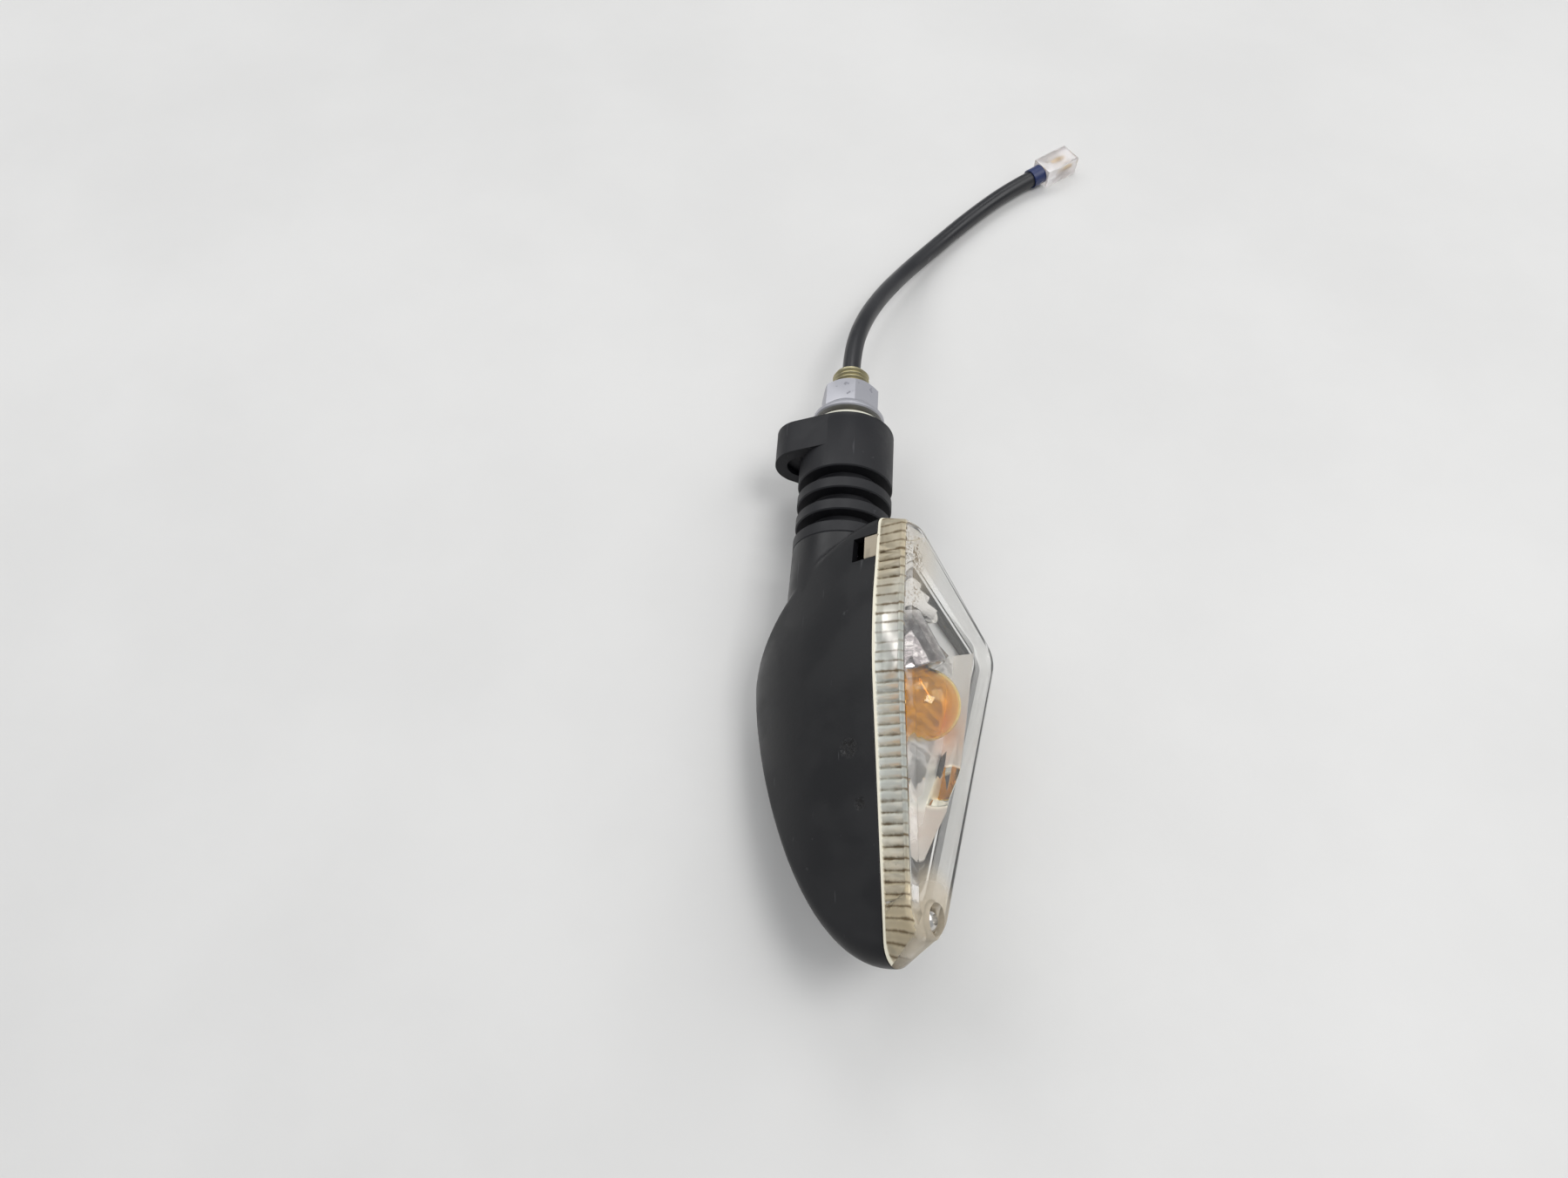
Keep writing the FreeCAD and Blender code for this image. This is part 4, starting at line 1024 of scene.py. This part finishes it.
@dataclass
class Reflector:
    """The silvered plate with its dish, stepped end and lamp collar."""

    top: float = 16.9
    depth: float = 12.3
    levels: int = 26
    centre: tuple[float, float] = (-82.0, -8.0)
    far_wall: float = 4.4
    dish: tuple[Corner, ...] = (
        (-55.0, 9.0, 4.0), (-72.0, 9.9, 60.0), (-113.0, 4.9, 4.0),
        (-111.5, -7.5, 5.0), (-61.0, -27.3, 5.0), (-56.5, -9.5, 6.0),
    )
    mirror: tuple[Corner, ...] = (
        (-46.0, 8.0, 3.0), (-121.0, 6.0, 3.0), (-121.5, -9.2, 2.0),
        (-101.5, -13.8, 14.0), (-92.0, -19.5, 14.0), (-56.5, -26.8, 4.0),
    )

    def build(self) -> Piece:
        """The film's face, with a thin wall behind it."""
        bm = rounded(inset(self.dish, 1.2), self.top, 10)
        for edge in [e for e in bm.edges if e.calc_length() > 6]:
            bmesh.ops.subdivide_edges(bm, edges=[edge], cuts=int(edge.calc_length() / 1.6))
        mouth = bm.faces[:]
        inner = bm.edges[:]
        deep = [0.99 * math.sin(i / self.levels * math.pi / 2) for i in range(1, self.levels + 1)]
        steps = [Level(self.top - self.depth * t, math.sqrt(1 - t * t)) for t in deep]
        verts = sunk(bm, steps, self.centre, self.top)
        bmesh.ops.delete(bm, geom=mouth, context="FACES_ONLY")
        room = GLOBE_R + 0.55
        for vert in verts:
            away = vert.co - GLOBE_CENTRE
            if away.length < room:
                vert.co = GLOBE_CENTRE + away.normalized() * room
        plate = rounded(inset(RIM, 4.4), self.top)
        bmesh.ops.delete(plate, geom=plate.faces[:], context="FACES_ONLY")
        start = len(bm.edges)
        take_in(bm, plate)
        bm.edges.ensure_lookup_table()
        bmesh.ops.bridge_loops(bm, edges=bm.edges[start:] + [e for e in inner if e.is_valid])
        bm = thickened(facing(bm, X), 1.0)
        bm = joined(bm, rod(8.35, CONTACT + TO_BASE * 12, -TO_BASE, 12 + 13.6, 64), Join.CUT)
        for y, z, _ in FIXING_SPOTS:
            bm = joined(bm, peg(1.5, 14, (y, z), 6, 24), Join.CUT)
        bm = joined(bm, peg(4.3, 14, SCREW_SPOT, 6, 40), Join.CUT)
        for face in bm.faces:
            face.material_index = int(face.normal.x > 0.98 and face.calc_center_median().x > self.top - 0.3)
        return settled(bm, "reflector_film", Place.LAMP, 34)

    def brim(self) -> Piece:
        """The tall far wall that mirrors the bulb."""
        bm = rounded([(y + 0.60, z + 1.0, radius) for y, z, radius in self.mirror], self.top - 0.3, 10)
        face = bm.faces[:]
        walled(bm, [rounded(self.mirror, self.top + self.far_wall, 10)])
        bmesh.ops.delete(bm, geom=face, context="FACES_ONLY")
        trimmed(bm, ((0, 0, -3.0), Z), ((21.3, -103.5, 0), (0.96, -0.28, 0)), ((0, -59.5, 0), Y))
        return settled(thickened(facing(bm, Z), 0.3), "reflector_brim", Place.LAMP, 30)

    def steps(self) -> Piece:
        """The stepped facets at the stem's end of the plate."""
        solids = []
        for i in range(4):
            high = 0.7 + 0.75 * i
            centre = (self.top + high / 2 - 0.1, -46.5 - i * 2.7, 1.0 - i * 1.6)
            solids.append(softened(box(centre, (high, 2.6, 14.0 + i * 0.6), -9 - 5 * i), 0.12))
        return settled(merged(*solids), "reflector_steps", Place.LAMP, 30)

    def collar(self) -> Piece:
        """The tall collar around the bulb's cap and neck, polished inside."""
        ring = [(8.6, 8.35), (8.6, 9.7), (21.2, 9.7), (21.5, 9.4), (21.5, 8.65), (21.2, 8.35), (8.6, 8.35)]
        bm = turned(ring, "Z", 64)
        for face in bm.faces:
            face.material_index = int(face.calc_center_median().xy.length < 8.5)
        return settled(bm, "reflector_collar", Place.BULB)


@dataclass
class Bulb:
    """The amber bulb: globe, cap with its pins, contact and filament."""

    glass_wall: float = 0.5
    wire_z: float = 28.3
    wire_x: float = 2.6

    def glass(self) -> Piece:
        """The globe and its neck, hollow."""
        turns = [math.pi * i / 24 * 0.78 for i in range(25)]
        outer, inner = (
            [(GLOBE_HEIGHT + r * math.cos(turn), r * math.sin(turn)) for turn in turns]
            for r in (GLOBE_R, GLOBE_R - self.glass_wall)
        )
        profile = outer + [(20.4, 5.6), (14.4, 5.6), (14.4, 5.0), (20.6, 5.0)] + inner[::-1]
        return settled(turned(profile, "Z", 72), "bulb_globe", Place.BULB, 50)

    def cap(self) -> Piece:
        """The metal cap, rolled at its mouth, with two pins."""
        profile = [(1.0, 3.1), (1.0, 6.6), (1.5, 7.3), (2.2, 7.5), (12.6, 7.5), (13.1, 7.15), (13.6, 7.5)]
        profile += [(14.2, 7.3), (14.5, 6.6), (14.5, 5.7), (13.0, 5.7), (12.4, 6.9), (2.0, 6.9), (2.0, 3.1)]
        solids = [turned(profile + profile[:1], "Z", 64)]
        for degrees in (0.0, 150.0):
            way = Vector((math.cos(math.radians(degrees)), math.sin(math.radians(degrees)), 0))
            solids.append(softened(rod(1.0, Z * 6.0 + way * 7.0, way, 1.2, 24), 0.15))
        return settled(merged(*solids), "bulb_cap", Place.BULB)

    def contact(self) -> Piece:
        """The soldered contact in its insulating glass."""
        profile = [(2.0, 0), (2.0, 3.0), (1.0, 3.0), (0.8, 2.6), (0.2, 2.2), (0.0, 1.2), (0.0, 0)]
        return settled(turned(profile, "Z", 32), "bulb_contact_tip", Place.BULB)

    def filament(self) -> Piece:
        """The glass mount, two supports and the coiled wire."""
        mount = turned([(2.0, 0), (2.0, 3.6), (14.0, 3.6), (17.0, 2.6), (17.6, 1.4), (17.7, 0)], "Z", 32)
        supports = [rod(0.3, (side, 0, 14.5), Z, 14.0, 12) for side in (-self.wire_x, self.wire_x)]
        coil = hoop(bmesh.new(), 0.12, (-self.wire_x, 0.5, self.wire_z), 6)
        wound(coil, X, 2 * self.wire_x, 10, 160, (0, 0, self.wire_z))
        return settled(merged(mount, *supports, coil), "bulb_wires", Place.BULB)


@dataclass
class Stem:
    """The ribbed rubber stem in two pieces that meet in a groove."""

    boss_r: float = 12.2
    rib_r: float = 12.1
    groove_r: float = 8.4
    collar_r: float = 12.4
    bore_r: float = 4.2
    ease: float = 0.3
    split_y: float = -27.35
    lobe_x: float = -11.1

    def down(self, y: float, radius: float) -> list[tuple[float, float]]:
        """The profile's way down a rib's side at y into a groove."""
        low, e = self.groove_r, self.ease
        return [(y + e, radius), (y, radius - e), (y, low + e), (y - e, low)]

    def up(self, y: float, radius: float) -> list[tuple[float, float]]:
        """The profile's way up a rib's side at y out of a groove."""
        low, e = self.groove_r, self.ease
        return [(y + e, low), (y, low + e), (y, radius - e), (y - e, radius)]

    def lobe(self) -> Mesh:
        """The keyed lobe beside the boss, as the hull of two rounds, with its pocket."""
        bm = bmesh.new()
        for y in (-2.6, -12.2):
            hoop(bm, self.boss_r - 0.02, (0, y, 0), 72)
            hoop(bm, 7.5, (self.lobe_x, y, 0), 72)
        hull = bmesh.ops.convex_hull(bm, input=bm.verts[:])
        spare = {v for v in verts_in(hull["geom_interior"] + hull["geom_unused"]) if v.is_valid}
        bmesh.ops.delete(bm, geom=list(spare), context="VERTS")
        bmesh.ops.dissolve_limit(bm, angle_limit=math.radians(1), verts=bm.verts[:], edges=bm.edges[:])
        bmesh.ops.recalc_face_normals(bm, faces=bm.faces)
        return joined(bm, rod(4.4, (self.lobe_x, -12.3, 0), Y, 1.6, 48), Join.CUT)

    def boss(self) -> Piece:
        """The boss, the first groove, the first rib and half of the second groove."""
        high, split = self.boss_r, self.split_y
        profile = [(-2.6, 5.05), (-2.6, high - 1.4), (-3.0, high - 0.4), (-4.0, high), *self.down(-19.2, high)]
        profile += self.up(-22.5, self.rib_r) + self.down(-25.7, self.rib_r) + [(split, self.groove_r)]
        profile += [(split, self.bore_r), (-13.2, self.bore_r), (-13.2, 5.05), (-2.6, 5.05)]
        bm = joined(turned(profile), self.lobe(), Join.ADD)
        long = [e for e in bm.edges if abs(e.verts[0].co.y - e.verts[1].co.y) > 2.0 and e.verts[0].co.y < -19]
        bmesh.ops.subdivide_edges(bm, edges=long, cuts=4)
        return settled(bm, "rubber_boss", Place.STEM, 33)

    def collar(self) -> Piece:
        """The other half of the second groove, the second rib, the last groove and the collar."""
        high, low, bore, split = self.collar_r, self.groove_r, self.bore_r, self.split_y
        profile = [(split, bore), (split, low), *self.up(-29.0, self.rib_r), *self.down(-32.2, self.rib_r)]
        profile += [(-33.4, low), (-34.3, low), *self.up(-35.5, high), (-38.6, high), (-39.0, high - 0.3)]
        profile += [(-39.0, 10.3), (-36.7, 10.3), (-36.7, bore), (split, bore)]
        return settled(turned(profile), "rubber_collar", Place.STEM, 33)

    def core(self, name: str, start: float, end: float) -> Piece:
        """A length of the cable inside the stem, in short steps."""
        steps = 24
        profile = [(start + (end - start) * i / steps, Lead.radius) for i in range(steps + 1)]
        return settled(turned([(start, 0), *profile, (end, 0)], "Y", 32), name, Place.STEM, 40)


@dataclass
class Leads:
    """The two leads from the cable's end to the socket."""

    radius: float = 0.65
    start_y: float = -46.45

    def run(self, name: str, start: Corner, first: float, spots: Sequence[Corner]) -> Piece:
        """One lead, from the cable's end through spots in the bulb's directions."""
        x, y, z = start
        bulb = Place.BULB.matrix()
        return tube(name, [start, (x, y - first, z), *(bulb @ Vector(spot) for spot in spots)], self.radius, 10, 3)

    def live(self) -> Piece:
        """The lead that bends around the plunger's end to the insulator."""
        around = ((1.6, -4.4, -7.1), (3.9, -1.2, -7.3), (3.9, 0, -6.2), (3.9, 0, -5.6))
        return self.run("lead_live", (0, self.start_y, 1.1), 1.0, around)

    def earth(self) -> Piece:
        """The lead to the ground tab."""
        turn = math.radians(225)
        tab = [(reach * math.cos(turn), reach * math.sin(turn), -3.0) for reach in (11.6, 9.05)]
        return self.run("lead_earth", (-1.1, self.start_y, -0.9), 1.2, tab)


@dataclass
class Spring:
    """The coil between the socket's insulator and the plunger."""

    radius: float = 3.4
    wire: float = 0.35
    low: float = -4.0
    high: float = -1.45
    turns: int = 3
    steps: int = 72

    def build(self) -> Piece:
        """The coil, as a round section swept along a helix."""
        bm = hoop(bmesh.new(), self.wire, (self.radius, 0, self.low), 12)
        wound(bm, Z, self.high - self.low, self.turns, self.steps)
        return settled(capped(bm), "contact_coil", Place.BULB, 50)


@dataclass
class Fixing:
    """The stud, the washer and the flange nut."""

    pitch: float = 1.25
    turns: int = 20
    end_y: float = 18.2
    flats: float = 14.0
    nut_turn: float = 52.0

    def stud(self) -> Piece:
        """The hollow stud with a rolled thread and the disc that the rubber grips."""
        core = [(19.3, 2.9), (19.3, 3.9), (18.8, 4.4), (-10.6, 4.4), (-10.6, 9.0), (-13.1, 9.0), (-13.1, 2.9)]
        length = self.turns * self.pitch
        spots = [(4.3, -0.56), (4.98, -0.08), (4.98, 0.08), (4.3, 0.56)]
        thread = bmesh.new()
        verts = [thread.verts.new((radius, self.end_y - length + rise, 0)) for radius, rise in spots]
        for pair in zip(verts, verts[1:] + verts[:1]):
            thread.edges.new(pair)
        wound(thread, Y, length, self.turns, 40 * self.turns)
        return settled(merged(turned(core + core[:1], "Y", 64), capped(thread)), "stud_threaded", Place.STEM)

    def washer(self) -> Piece:
        """The pale washer."""
        ring = [(0, 5.25), (0, 9.8), (-2.6, 9.8), (-2.6, 5.25), (0, 5.25)]
        return settled(softened(turned(ring), 0.3), "washer_ring", Place.STEM)

    def nut(self) -> Piece:
        """The flange nut, its hexagon chamfered by a cone."""
        corner = self.flats / math.sqrt(3)
        place = Matrix.Translation((0, 8.3, 0)) @ QUARTER @ Matrix.Rotation(math.radians(self.nut_turn), 4, "Z")
        bm = bmesh.new()
        bmesh.ops.create_cone(
            bm, cap_ends=True, segments=6, radius1=corner, radius2=corner, depth=8.6, matrix=place
        )
        bm = joined(bm, turned([(3.9, 0), (3.9, 8.3), (11.5, 8.3), (12.6, 7.0), (12.6, 0)]), Join.KEEP)
        flange = [(2.1, 0), (2.1, 9.2), (2.4, 9.5), (3.3, 9.5), (3.7, 9.25), (5.6, 7.4), (5.6, 0)]
        bm = joined(bm, turned(flange), Join.ADD)
        hole = [(1.0, 0), (1.0, 6.0), (2.1, 5.9), (2.8, 5.06), (11.9, 5.06), (12.6, 5.8), (13.5, 6.0), (13.5, 0)]
        bm = joined(bm, turned(hole, "Y", 64), Join.CUT)
        return settled(softened(bm, 0.16, 2, 28), "nut_flanged", Place.STEM, 40)


@dataclass
class Lead:
    """The cable from the stud's mouth to its connector."""

    route: tuple[Corner, ...] = (
        (0.0, 19.3, 0.0), (0.0, 28.0, 0.0), (2.6, 41.0, -2.2), (7.6, 55.7, -7.3), (14.6, 70.9, -12.9),
        (23.6, 85.1, -16.2), (33.6, 98.0, -16.8), (43.6, 109.0, -16.7), (50.6, 115.4, -16.5),
        (55.6, 119.3, -16.3),
    )
    radius: float = 2.5
    length: float = 119.0

    def build(self) -> Piece:
        """The free run, as one smooth curve."""
        return tube("cable_run", self.route, self.radius, 16, 8)


# ---- dressing -----------------------------------------------------------------------
def dress(node: str, material: Material) -> None:
    """Gives a carried-over node its finish."""
    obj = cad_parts[node]
    obj.data.materials.clear()
    obj.data.materials.append(material)


def painted(obj: Piece, *materials: Material) -> Piece:
    """The piece with its finishes, in the order that its faces name them."""
    for material in materials:
        obj.data.materials.append(material)
    return obj


def named(obj: Piece, node: str) -> Piece:
    """The piece, with the carried-over node that it replaces hidden."""
    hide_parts(node)
    return obj


def lay(obj: Piece, body: str, slot: str, node: str, *materials: Material) -> Piece:
    """Finishes a piece that rides on one body."""
    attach(painted(obj, *materials), body)
    return named(obj, node)


def bend(obj: Piece, node: str, material: Material) -> Piece:
    """Finishes a piece of the stem, with its place baked into its mesh."""
    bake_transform(painted(obj, material))
    return named(obj, node)


# ---- the studio ---------------------------------------------------------------------
@dataclass
class Studio:
    """The table, the light and the camera."""

    eye: tuple[float, float, float] = (-0.0043, -0.1840, 0.2441)
    down: float = 61.0
    heading: float = 4.0
    focal_mm: float = 26.0
    table: Colour = (0.62, 0.613, 0.60)
    sky: Colour = (0.93, 0.96, 1.0)
    sky_strength: float = 0.42

    def floor(self) -> None:
        """A plain pale table under the lowest point."""
        bm = bmesh.new()
        level = Matrix.Translation((0, 0, CAD_BOX[0][2] - 0.00005))
        bmesh.ops.create_grid(bm, x_segments=1, y_segments=1, size=3.0, matrix=level)
        floor = as_object(bm, "table_top")
        material, tree, shader = new_material("pale_table")
        where = tree.where()
        cloud = tree.span(tree.noise(where, 9.0, 5.0, 0.6), 0.3, 0.7)
        base = tree.colour(cloud, self.table, tuple(c * 1.06 for c in self.table))
        normal = tree.bump(tree.noise(where, 220.0, 4.0), 0.25, 0.0002)
        tree.feed(shader, {"Roughness": 0.55, "Base Color": base, "Normal": normal})
        floor.data.materials.append(material)

    def lamps(self) -> None:
        """Wide soft lamps and an even sky."""
        world = bpy.data.worlds.new("sky")
        bpy.context.scene.world = world
        world.use_nodes = True
        background = world.node_tree.nodes["Background"]
        background.inputs["Color"].default_value = (*self.sky, 1.0)
        background.inputs["Strength"].default_value = self.sky_strength
        for name, spot, aim, size, power in (
            ("window_left", (-0.9, 0.5, 1.1), (0, -0.05, 0), 0.9, 7.4),
            ("window_right", (0.95, 0.25, 1.0), (0, -0.05, 0), 0.8, 4.0),
            ("ceiling", (0.05, 0.9, 1.3), (0, 0, 0), 0.7, 4.5),
            ("window_small", (0.42, -0.16, 1.09), (0, -0.05, 0), 0.42, 5.0),
        ):
            light = bpy.data.lights.new(name, "AREA")
            light.size = size
            light.energy = power
            lamp = bpy.data.objects.new(name, light)
            lamp.location = spot
            lamp.rotation_euler = (Vector(aim) - Vector(spot)).to_track_quat("-Z", "Y").to_euler()
            bpy.context.scene.collection.objects.link(lamp)

    def camera(self) -> None:
        """The camera where the photograph was taken from."""
        data = bpy.data.cameras.new("camera")
        data.lens = self.focal_mm
        data.sensor_width = 36.0
        data.clip_start = 0.005
        camera = bpy.data.objects.new("camera", data)
        camera.location = self.eye
        camera.rotation_euler = (math.radians(90 - self.down), 0, math.radians(self.heading))
        bpy.context.scene.collection.objects.link(camera)
        bpy.context.scene.camera = camera

    def build(self) -> None:
        """Sets up the whole studio."""
        self.floor()
        self.lamps()
        self.camera()
        bpy.context.scene.view_settings.view_transform = "Standard"


def spot(x: float, y: float, z: float, inner: float, outer: float) -> Spot:
    """A soft spot about a place in the lamp's directions, as a point of the row frame, in metres."""
    return (LAMP @ Vector((x, y, z))) * MM, inner, outer


def finishes() -> dict[str, Material]:
    """Every finish, by its name."""
    scuffs = (spot(12.7, -95.9, 11.7, 0.0010, 0.0026), spot(15.0, -108.1, 10.1, 0.0005, 0.0016))
    # Painted shade in two dark zones around the bulb's neck, and painted amber light in a warm zone deep in the
    # dish towards the tip.
    painted_shade_and_amber_light = (
        (*spot(15.0, -62.0, -14.0, 0.006, 0.011), (0.10, 0.09, 0.10)),
        (*spot(15.5, -68.5, -7.0, 0.010, 0.014), (0.16, 0.14, 0.145)),
        (*spot(8.0, -108.0, 0.0, 0.006, 0.020), (0.80, 0.64, 0.52)),
    )
    brown = ((*spot(18.5, -106.0, -10.0, 0.003, 0.012), (0.50, 0.44, 0.40)),)
    dirty = (
        spot(31.0, -50.0, 13.0, 0.004, 0.0115),
        spot(28.5, -60.0, 14.0, 0.002, 0.009),
        spot(27.5, -70.0, 14.5, 0.001, 0.006),
    )
    hazy = (
        (*spot(26.0, -131.0, 0.0, 0.006, 0.013), 0.5),
        (*spot(27.5, -50.0, 10.0, 0.002, 0.014), 0.3),
        (*spot(17.0, -48.2, 13.0, 0.003, 0.0045), 0.6),
    )
    made = (
        Moulded("black_plastic", (0.006, 0.006, 0.007), (0.012, 0.012, 0.013), rough=0.40, specular=0.4,
                dust=0.05, spots=scuffs),
        Moulded("black_rubber", (0.008, 0.008, 0.010), (0.018, 0.018, 0.020), grain=1800.0, dust=0.05,
                specular=0.35),
        Moulded("black_cable", (0.010, 0.010, 0.012), (0.02, 0.02, 0.022), rough=0.33, grain=900.0, dust=0.1),
        Moulded("cream_plastic", (0.62, 0.61, 0.52), (0.50, 0.48, 0.38), grain=900.0),
        Moulded("seal_foam", (0.012, 0.012, 0.012), (0.02, 0.02, 0.02), rough=0.8),
        Moulded("brown_laminate", (0.20, 0.09, 0.04), (0.26, 0.13, 0.06)),
        Moulded("blue_sleeve", (0.012, 0.022, 0.085), (0.02, 0.035, 0.12), rough=0.3),
        Moulded("red_covering", (0.25, 0.02, 0.015), (0.3, 0.04, 0.03), rough=0.4),
        Metal("yellow_zinc", (0.50, 0.46, 0.30), (0.24, 0.21, 0.12), rough=0.36),
        Metal("dull_zinc", (0.50, 0.50, 0.53), (0.38, 0.38, 0.41), rough=0.52, cover=0.3),
        Metal("bright_steel", (0.80, 0.78, 0.74), (0.55, 0.52, 0.48), rough=0.16, cover=0.2),
        Metal("nickel_cap", (0.66, 0.60, 0.48), (0.45, 0.38, 0.28), rough=0.24),
        Metal("plain_brass", (0.72, 0.52, 0.22), (0.46, 0.32, 0.14), rough=0.28),
        Silvered("silvered_film", zones=painted_shade_and_amber_light),
        Silvered("silvered_far_wall", (0.50, 0.48, 0.46), zones=brown, wave=0.00003,
                 smooth_spot=spot(19.0, -96.8, -16.2, 0.0055, 0.0075)),
        Silvered("silvered_collar", (0.95, 0.94, 0.92), wave=0.00006),
        Metal("satin_border", (0.86, 0.86, 0.86), (0.70, 0.68, 0.66), rough=0.34, cover=0.2),
        Clear("clear_lens", ior=1.28, grain=1500.0, cover=0.75, zones=dirty, hazes=hazy),
        # A pale opaque coat over the front's edge band: a painted highlight.
        Clear("edge_painted_highlight", ior=1.28, dirt=(0.84, 0.81, 0.77), film=0.55, grain=1500.0, cover=0.5),
        RibbedWall("ribbed_side_wall"),
        Clear("amber_glass", (1.0, 0.64, 0.004), (1.0, 0.66, 0.05), film=0.0, ior=1.5, rough=0.0),
        Clear("milky_plastic", (0.92, 0.90, 0.90), (0.8, 0.8, 0.8), (0.88, 0.85, 0.84), rough=0.3, film=0.95),
    )
    return {each.name: each.make() for each in made}


def main() -> None:
    """Builds every piece in order."""
    logging.basicConfig(level=logging.INFO, format="%(name)s: %(message)s")
    Studio().build()
    look = finishes()

    bowl, lens, reflector, bulb = Bowl(), LensCover(), Reflector(), Bulb()
    lay(bowl.build(), "head", "black_plastic", "housing", look["black_plastic"])
    lay(bowl.posts(), "head", "black_plastic", "housing", look["black_plastic"])
    sides = look["ribbed_side_wall"], look["edge_painted_highlight"]
    lay(lens.build(), "lens", "clear_plastic", "lens", look["clear_lens"], *sides)

    film = look["silvered_film"]
    lay(reflector.build(), "head", "silvered", "reflector", film, look["satin_border"])
    lay(reflector.brim(), "head", "silvered", "reflector", look["silvered_far_wall"])
    lay(reflector.steps(), "head", "silvered", "reflector", film)
    lay(reflector.collar(), "head", "silvered", "reflector", film, look["silvered_collar"])

    lay(bulb.glass(), "bulb", "amber_glass", "bulb_glass", look["amber_glass"])
    lay(bulb.cap(), "bulb", "bulb_cap", "bulb_base", look["nickel_cap"])
    lay(bulb.contact(), "bulb", "contact_metal", "bulb_contact", look["plain_brass"])
    lay(bulb.filament(), "bulb", "filament_metal", "bulb_filament", look["nickel_cap"])

    stem, cable = Stem(), look["black_cable"]
    bend(stem.boss(), "rubber_stem", look["black_rubber"])
    bend(stem.collar(), "rubber_stem", look["black_rubber"])
    bend(stem.core("cable_core_root", 19.3, stem.split_y), "cable_inner_run", cable)
    bend(stem.core("cable_core_head", stem.split_y, -46.4), "cable_inner_run", cable)

    leads = Leads()
    lay(leads.live(), "head", "lead_covering", "lead_wires", look["red_covering"])
    lay(leads.earth(), "head", "lead_covering", "lead_wires", look["red_covering"])
    coil = lay(Spring().build(), "head", "spring_steel", "contact_spring", look["bright_steel"])
    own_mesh(coil)

    fixing = Fixing()
    lay(fixing.stud(), "root", "zinc_plated", "mounting_stud", look["yellow_zinc"])
    lay(fixing.washer(), "root", "cream_washer", "seat_washer", look["cream_plastic"])
    lay(fixing.nut(), "nut", "nut_steel", "flange_nut", look["dull_zinc"])

    lead = Lead()
    run = lay(lead.build(), "root", "cable_black", "cable_free_run", cable)
    for name, nodes in (
        ("blue_sleeve", ["cable_end_sleeve"]),
        ("milky_plastic", ["connector_housing"]),
        ("plain_brass", ["connector_terminals", "lens_screw_insert", "contact_plunger"]),
        ("dull_zinc", ["stem_bush", "stem_bush_nut", "bulb_socket", "ground_terminal"]),
        ("seal_foam", ["lens_gasket"]),
        ("bright_steel", ["lens_screw", "reflector_screws"]),
        ("brown_laminate", ["socket_insulator"]),
    ):
        for node in nodes:
            dress(node, look[name])


if __name__ == "__main__":
    main()
